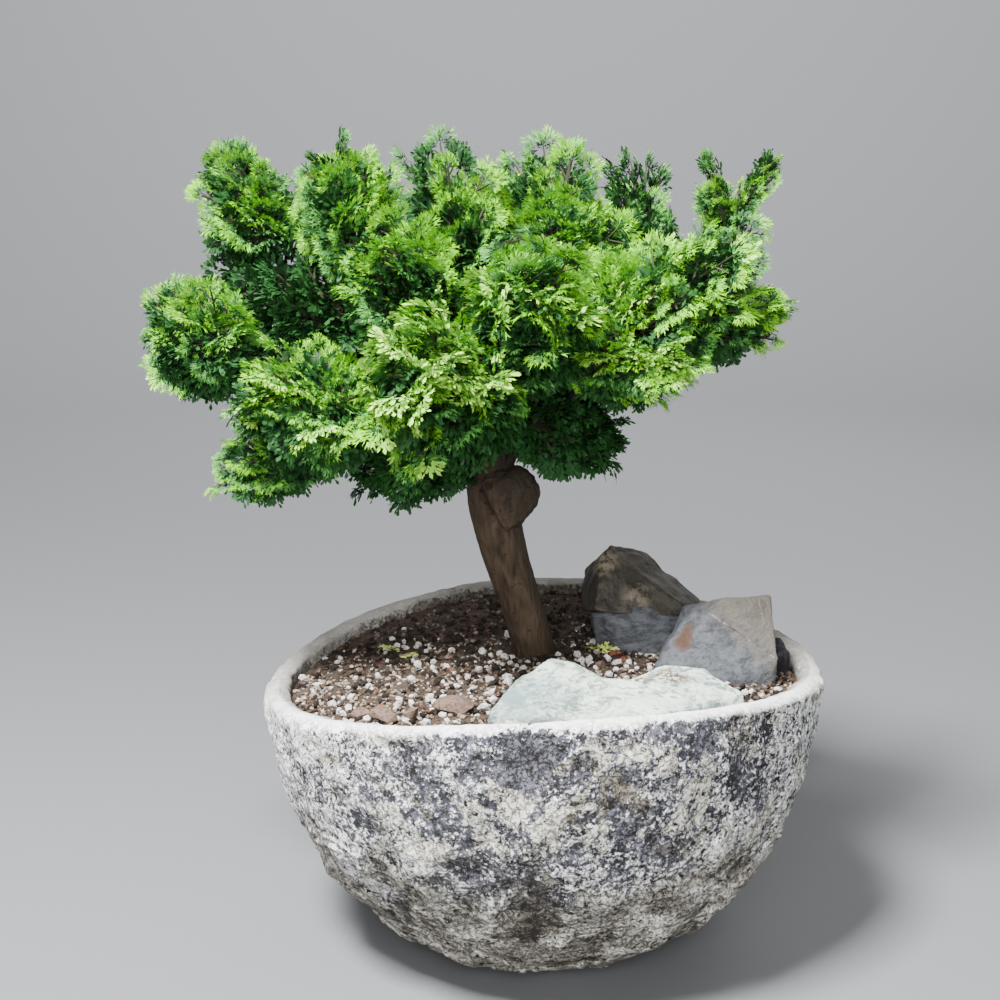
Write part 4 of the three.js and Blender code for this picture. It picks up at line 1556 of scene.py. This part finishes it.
@dataclass
class Foliage:
    """Boughs, twigs and sprays: the source's rule, carried to finer twigs."""

    spacing: float = 18.0
    behind: float = 0.62
    stem_reach: float = 0.72
    seed: int = 7
    patterns: int = 6
    most_lobes: int = 95000
    tone_steps: Point = (0.42, 0.12, -0.14)
    front_edge: float = -46.0
    front_top: float = 277.0
    limbs: dict[str, Curve] = field(default_factory=dict)
    sprays: list[Spray] = field(default_factory=list)
    twigs: list[Twig] = field(default_factory=list)

    def grow_limbs(self) -> None:
        """Works out the trunk's and boughs' lines as the solids have them."""
        self.limbs["trunk"] = Curve.through(TRUNK_LINE)
        for mass in CROWN:
            if mass.start >= 1:
                continue
            start = self.limbs[mass.parent].at(mass.start)
            root, tip = np.array(mass.root, float), np.array(mass.tip, float)
            span = float(np.linalg.norm(root - start))
            level = unit((root - start) * (1, 1, 0))
            leave, enter = start + level * span / 3, root - unit(tip - root) * span / 4
            base = 3.1 if mass.parent == "trunk" else 2.2
            self.limbs[mass.name] = Curve.bent(start, leave, enter, root, base, 1.5)

    @staticmethod
    def open_sky(point: np.ndarray) -> float:
        """Works out how much light from above and the front reaches a point.

        Args:
            point: The point.

        Returns:
            The share of the light that no mass hides.
        """
        turns = np.linspace(0, 2 * math.pi, 9)[:-1]
        ways = [(0, 0, 1.0), (-0.2, -0.62, 0.76), (-0.2, -0.62, 0.76)]
        ways = np.array(ways + [(0.65 * math.cos(t), 0.65 * math.sin(t) - 0.35, 0.66) for t in turns])
        shut = np.zeros(len(ways), dtype=bool)
        for mass in CROWN:
            out = point - mass.centre
            lengthwise = mass.axis * float(out @ mass.axis)
            place = lengthwise / mass.half + (out - lengthwise) / mass.across
            along = np.outer(ways @ mass.axis, mass.axis)
            step = along / mass.half + (ways - along) / mass.across
            towards = step @ place
            rest = towards ** 2 - (step * step).sum(1) * (float(place @ place) - 0.72)
            shut |= (rest > 0) & (np.sqrt(np.maximum(rest, 0)) > towards)
        return 1 - float(shut.mean())

    def spray(self, root: np.ndarray, ahead: np.ndarray, face: np.ndarray, length: float, exposure: float,
              random: np.random.Generator) -> None:
        """Sets one spray on a twig.

        Args:
            root: Where it grows from.
            ahead: Where it points.
            face: The way that its upper side faces.
            length: Its length.
            exposure: How open to the sky it is, about 0 to 1.
            random: The random numbers.
        """
        ahead = unit(ahead)
        own = unit(face + random.normal(0, 0.24, 3))
        own = unit(own - ahead * float(own @ ahead))
        # Painted light: the tone is picked by how lit the spray would be, and sprays low at the front are
        # made one tone lighter, as if lit from the front.
        shown = exposure + random.normal(0, 0.11)
        front = (root[1] + random.normal(0, 22) < self.front_edge
                 and root[2] + random.normal(0, 9) < self.front_top)
        tone = 1 + sum(shown <= step for step in self.tone_steps)
        if front and tone < 3:
            tone -= 1
        self.sprays.append(Spray(root, ahead, own, length, int(random.integers(self.patterns)), tone))

    def plume(self, foot: np.ndarray, tip: np.ndarray, facing: np.ndarray, exposure: float, pairs: int,
              size: float, random: np.random.Generator) -> None:
        """Grows a side twig that carries a flat tier: branchlets to both sides, with sprays on each end.

        Args:
            foot: Where the side twig leaves the stem.
            tip: Where its last spray ends.
            facing: The way that the mass's surface faces there.
            exposure: How open to the sky it is, about 0 to 1.
            pairs: How many pairs of branchlets.
            size: The sprays' size, 1 for a full one.
            random: The random numbers.
        """
        reach = float(np.linalg.norm(tip - foot))
        way = (tip - foot) / reach
        upright = np.array([0, 0, 0.85]) + facing * 0.5 + random.normal(0, 0.45, 3)
        face = unit(upright - way * float(upright @ way))
        side = np.cross(face, way)
        size *= min(1.0, 0.5 + reach / 50)
        sag = 0.45 * abs(float(way[1]))
        self.twigs.append(Twig(foot, foot + way * reach * 0.8, 0.8, 0.4))
        for k in range(pairs):
            step = k / max(1, pairs - 1)
            share = 0.24 + 0.40 * step
            taper = size * (1.12 - 0.34 * step)
            root = foot + way * reach * share
            for hand in (1, -1):
                if random.uniform() < 0.22:
                    continue
                turn = hand * math.radians(random.uniform(34, 58))
                ahead = unit(way * math.cos(turn) + side * math.sin(turn) + face * random.normal(0.04, 0.16))
                fork = root + ahead * min(9.0, reach * 0.24) * taper * random.uniform(0.8, 1.2)
                self.twigs.append(Twig(root, fork, 0.5, 0.35))
                across = np.cross(face, ahead)
                for lean in (-0.55, 0.0, 0.55):
                    out = ahead * math.cos(lean) + across * math.sin(lean)
                    out = out + face * random.normal(-0.6 * sag, 0.18)
                    length = random.uniform(8.5, 12.0) * taper * (1.0 if lean == 0 else 0.85)
                    # Painted shade: sprays nearer the stem are dealt darker tones.
                    self.spray(fork, out, face, length, exposure - 0.75 * (0.62 - share), random)
        length = max(9.0 * size, 0.26 * reach)
        root = tip - way * length
        for turn in (-0.52, 0.0, 0.52):
            ahead = way * math.cos(turn) + side * math.sin(turn) + face * random.normal(0.05 - sag, 0.14)
            # Painted light: the end sprays are dealt a lighter tone.
            self.spray(root, ahead, face, length * random.uniform(0.85, 1.05), exposure + 0.10, random)

    def grow(self) -> None:
        """Grows every mass."""
        for mass in CROWN:
            mass.part(CROWN)
        for number, mass in enumerate(CROWN):
            random = np.random.default_rng(self.seed + number)
            root, tip = np.array(mass.root, float), np.array(mass.tip, float)
            stem_end = root + (tip - root) * self.stem_reach
            self.twigs.append(Twig(root, stem_end, 1.4, 0.6))
            for peak in LEADERS.get(mass.name, ()):
                # Painted light: the leaders' tones follow the mass's painted light.
                exposure = 0.03 + 0.25 * mass.light
                facing = unit(mass.axis + (0, -0.5, 0))
                foot = root + (stem_end - root) * 0.6
                self.plume(foot, np.array(peak, float), facing, exposure, 6, 0.75, random)
            area = 4 * math.pi * mass.across * (2 * mass.half + mass.across) / 3
            size = min(1.0, 0.3 + mass.girth / 30)
            count = max(12, round(area / (self.spacing * size) ** 2))
            for k in range(count):
                along = 1 - 1.9 * (k + 0.3) / count
                full = mass.skin(along, k * GOLDEN_ANGLE + random.uniform(0, 0.7))
                skin, share = mass.draw_in(full)
                foot = root + (stem_end - root) * np.clip((along + 1) / 2 - self.behind, 0.04, 1)
                facing = mass.facing(full)
                if share > 0.84:
                    proud = noise.noise(Vector(skin) / 13)
                    ragged = random.uniform(0.76, 1.04) + 0.32 * proud
                    if facing[2] > 0.5 and random.uniform() < 0.16:
                        ragged = random.uniform(1.02, 1.14)
                    end = foot + (skin - foot) * ragged
                    # Painted light: the tone comes from how open the spot is to light from above and the
                    # front, how far it faces up, noise and the mass's painted light.
                    exposure = 0.85 * self.open_sky(end + facing * 3) + 0.36 * facing[2] - 0.24 + mass.light
                    exposure += 0.60 * proud
                    self.plume(foot, end, facing, exposure + random.normal(0, 0.10), 3, size, random)
                    # Painted shade: a lower tier under each plume is dealt darker tones, as dark leaves in
                    # the gaps.
                    lower = foot + (skin - foot) * 0.82 - facing * 2 - np.array([0, 0, 3.5])
                    self.plume(foot, lower, facing, exposure - 0.6, 2, size, random)
                elif k % 2:
                    # Painted shade: these inner plumes are dealt dark tones.
                    self.plume(foot, foot + (skin - foot) * 0.92, facing, -0.4, 2, size, random)

    def clear_of_limbs(self) -> None:
        """Skips sprays that would touch the trunk or a bough."""
        shares = np.linspace(0, 1, 50)
        beads = np.vstack([np.column_stack([c.at(shares), c.radius(shares)]) for c in self.limbs.values()])
        kept = []
        for spray in self.sprays:
            tests = spray.root + np.outer((0.45, 0.75, 1.0), spray.ahead) * spray.length
            gap = np.linalg.norm(tests[:, None] - beads[None, :, :3], axis=2) - beads[None, :, 3]
            if gap.min() > 0.6:
                kept.append(spray)
        LOG.info("sprays: %d of %d clear of the limbs", len(kept), len(self.sprays))
        self.sprays = kept

    @staticmethod
    def lay_out(sprays: Sequence[Spray], flat: np.ndarray) -> np.ndarray:
        """Lays a flat pattern out in the crown, drooping and cupped.

        Args:
            sprays: The sprays that have this pattern.
            flat: Its lobes by corners by XYZ, one unit long.

        Returns:
            Sprays by lobes by corners by XYZ, in millimetres.
        """
        root = np.array([s.root for s in sprays])[:, None, None]
        ahead = np.array([s.ahead for s in sprays])[:, None, None]
        face = np.array([s.face for s in sprays])[:, None, None]
        length = np.array([s.length for s in sprays])[:, None, None]
        local = flat[None] * length[..., None]
        droop = (0.16 * local[..., 0] ** 2 + 0.30 * local[..., 1] ** 2) / length
        rise = local[..., 2] - droop
        rows = root + local[..., 0, None] * ahead + local[..., 1, None] * np.cross(face, ahead)
        return rows + rise[..., None] * face

    def lobes_by_colour(self) -> dict[Leaf, np.ndarray]:
        """Lays every spray's lobes out in the crown.

        Returns:
            Lobes by corners by XYZ in millimetres, for each colour.
        """
        # Painted light: tones run from the most lit sprays to the most shaded; in each, the tip, middle and
        # inner lobes take the three colours.
        tones = [(Leaf.PALE, Leaf.FRESH, Leaf.MID), (Leaf.LIME, Leaf.BRIGHT, Leaf.DEEP),
                 (Leaf.BRIGHT, Leaf.GREEN, Leaf.DEEP), (Leaf.GREEN, Leaf.MID, Leaf.SHADE),
                 (Leaf.DEEP, Leaf.SHADE, Leaf.SHADE)]
        gathered: dict[Leaf, list[np.ndarray]] = {leaf: [] for leaf in Leaf}
        for index in range(self.patterns):
            blunt = SprayPattern(self.seed * 10 + index)
            fine = replace(blunt, forked=True)
            coarse = SprayPattern(self.seed * 10 + index, 3, 0.38, 0.17, fine.steps[2:])
            mixed = np.random.default_rng(index)
            for tone, leaves in enumerate(tones):
                flat, out = (blunt, fine, fine, fine, coarse)[tone].lobes()
                zones = np.digitize(-out - mixed.normal(0, 0.10, len(out)), (-0.70, -0.54))
                chosen = [s for s in self.sprays if s.pattern == index and s.tone == tone]
                if not chosen:
                    continue
                rows = self.lay_out(chosen, flat)
                for zone, leaf in enumerate(leaves):
                    gathered[leaf].append(rows[:, zones == zone].reshape(-1, 4, 3))
        return {leaf: np.vstack(rows) for leaf, rows in gathered.items() if rows}

    def build_leaves(self) -> list[bpy.types.Object]:
        """Makes the leaf pieces, each of one plain colour.

        Returns:
            The pieces.
        """
        made = []
        nodes = [f"mass_{mass.name}" for mass in CROWN]
        for leaf, rows in self.lobes_by_colour().items():
            name, colour = leaf.value
            material = PlainFinish(name, colour, 0.55, 0.12).make()
            for part in range(math.ceil(len(rows) / self.most_lobes)):
                some = rows[part * self.most_lobes:(part + 1) * self.most_lobes]
                piece = Bench.sheets(f"{name}_{part + 1}", some * MM)
                made.append(finish_piece(piece, "foliage", material, *nodes))
        return made

    def build_twigs(self) -> bpy.types.Object:
        """Makes all twigs as one mesh of three-sided tapering sticks.

        Returns:
            The piece.
        """
        start = np.array([t.start for t in self.twigs])
        end = np.array([t.end for t in self.twigs])
        base = np.array([t.base for t in self.twigs])[:, None]
        tip = np.array([t.tip for t in self.twigs])[:, None]
        way = unit(end - start)
        side = unit(np.cross(way, np.where(np.abs(way[:, 2:]) > 0.9, (1.0, 0, 0), (0, 0, 1.0))))
        over = np.cross(way, side)
        ring = [side * math.cos(a) + over * math.sin(a) for a in (0, 2 * math.pi / 3, 4 * math.pi / 3)]
        rows = np.stack([start + r * base for r in ring] + [end + r * tip for r in ring], 1)
        faces = np.array([(0, 1, 4), (0, 4, 3), (1, 2, 5), (1, 5, 4), (2, 0, 3), (2, 3, 5), (2, 1, 0),
                          (3, 4, 5)])
        piece = Bench.copies("twigs", rows * MM, faces)
        return finish_piece(piece, "foliage", PlainFinish("green_twigs", (0.026, 0.030, 0.012), 0.7).make())

    def build_boughs(self, bark: bpy.types.Material) -> list[bpy.types.Object]:
        """Makes one limb for each bough.

        Args:
            bark: Their material.

        Returns:
            The pieces.
        """
        made = []
        for mass in CROWN:
            if mass.start < 1:
                node = f"bough_{mass.name}"
                limb = Limb(f"{node}_bark", self.limbs[mass.name], 14, 34, 0.28, (node,))
                made.append(limb.build(bark))
        return made


@dataclass
class FallenSprigs:
    """Small yellow-green sprigs lying on the soil."""

    soil: Soil
    spots: tuple[Point, ...] = ((22, -2, 0.6), (-62, 12, 2.2), (27, 4, 3.6), (-58, 9, 5.0))

    def build(self) -> bpy.types.Object:
        """Makes the sprigs.

        Returns:
            The piece.
        """
        flat, _ = SprayPattern(99, 3).lobes()
        rows = []
        for x, y, turn in self.spots:
            ground = float(self.soil.height(np.array([[x, y, 0.0]]))[0]) + 3.2
            ahead = np.array([math.cos(turn), math.sin(turn), 0.12])
            side = np.array([-math.sin(turn), math.cos(turn), 0.2])
            laid = flat[..., :1] * ahead + flat[..., 1:2] * side + flat[..., 2:] * np.array([0, 0, 1.0])
            rows.append(np.array([x, y, ground]) + 9 * laid)
        piece = Bench.sheets("fallen_sprigs", np.vstack(rows) * MM)
        return finish_piece(piece, "foliage", PlainFinish("yellow_sprigs", (0.42, 0.50, 0.09)).make())


# Studio

@dataclass
class Studio:
    """A pale floor, soft light from above and the front, and the camera."""

    target: Point = (-18.0, 0.0, 184.4)
    distance: float = 672.0
    pitch: float = 11.5
    view: float = 34.0

    def build(self) -> None:
        """Sets the floor, the lights, the sky and the camera."""
        Bench.clear()
        turns = np.linspace(0, math.pi / 2, 13)
        sweep = [(1.6 + 1.4 * math.sin(t), 1.4 * (1 - math.cos(t)) - 0.0004) for t in turns]
        floor = Bench.ring_stack("floor", 96, sweep, close_end=False)
        Bench.smooth(floor, 60)
        floor.data.materials.append(PlainFinish("pale_floor", (0.165, 0.168, 0.175), 0.7, 0.2).make())
        self.lamp("key", (-0.36, -0.48, 1.12), (-0.02, 0.0, 0.2), 0.28, 82.0)
        self.lamp("front", (0.0, -1.3, 0.50), (-0.02, 0.0, 0.10), 0.9, 27.0)
        self.lamp("back", (0.5, 0.9, 0.9), (-0.02, 0.0, 0.2), 0.9, 6.0)
        self.lamp("wall", (0.0, 1.3, 1.9), (0.0, 3.0, 1.0), 1.2, 110.0)
        world = bpy.data.worlds.new("studio")
        world.use_nodes = True
        world.node_tree.nodes["Background"].inputs["Color"].default_value = (0.62, 0.64, 0.66, 1)
        world.node_tree.nodes["Background"].inputs["Strength"].default_value = 0.54
        bpy.context.scene.world = world
        self.camera()

    @staticmethod
    def lamp(name: str, place: Point, aim: Point, size: float, watts: float) -> None:
        """Adds one soft square light.

        Args:
            name: Its name.
            place: Where it hangs, in metres.
            aim: What it points at.
            size: Its side.
            watts: Its power.
        """
        data = bpy.data.lights.new(name, "AREA")
        data.size = size
        data.energy = watts
        light = bpy.data.objects.new(name, data)
        light.location = place
        light.rotation_euler = (Vector(aim) - Vector(place)).to_track_quat("-Z", "Y").to_euler()
        bpy.context.collection.objects.link(light)

    def camera(self) -> None:
        """Sets the camera in front, a little above the bowl."""
        data = bpy.data.cameras.new("camera")
        data.sensor_width = 36
        data.lens = 18 / math.tan(math.radians(self.view / 2))
        data.clip_start = 0.01
        made = bpy.data.objects.new("camera", data)
        tilt = math.radians(self.pitch)
        away = Vector((0, math.cos(tilt), -math.sin(tilt))) * self.distance * MM
        made.location = Vector(self.target) * MM - away
        made.rotation_euler = (math.pi / 2 - tilt, 0, 0)
        bpy.context.collection.objects.link(made)
        bpy.context.scene.camera = made


def main() -> None:
    """Builds the plant from the pot upwards and reports each piece."""
    logging.basicConfig(level=logging.INFO, format="%(message)s")
    bowl = Bowl()
    soil = Soil(bowl)
    bowl.build()
    soil.build()
    Litter(soil).build()
    for stone in STONES:
        stone.build()
    bark = BarkFinish().make()
    Limb("trunk_bark", Curve.through(TRUNK_LINE), 44, 150, 0.45, ("trunk",), 0.07).build(bark)
    Knot().build(bark)
    foliage = Foliage()
    foliage.grow_limbs()
    # Painted shade: the boughs inside the crown get a darker copy of the bark.
    shaded = BarkFinish("bough_bark", (0.008, 0.005, 0.0035), (0.024, 0.0145, 0.009), (0.040, 0.026, 0.017))
    foliage.build_boughs(shaded.make())
    foliage.grow()
    foliage.clear_of_limbs()
    foliage.build_leaves()
    foliage.build_twigs()
    FallenSprigs(soil).build()
    Studio().build()


if __name__ == "__main__":
    main()
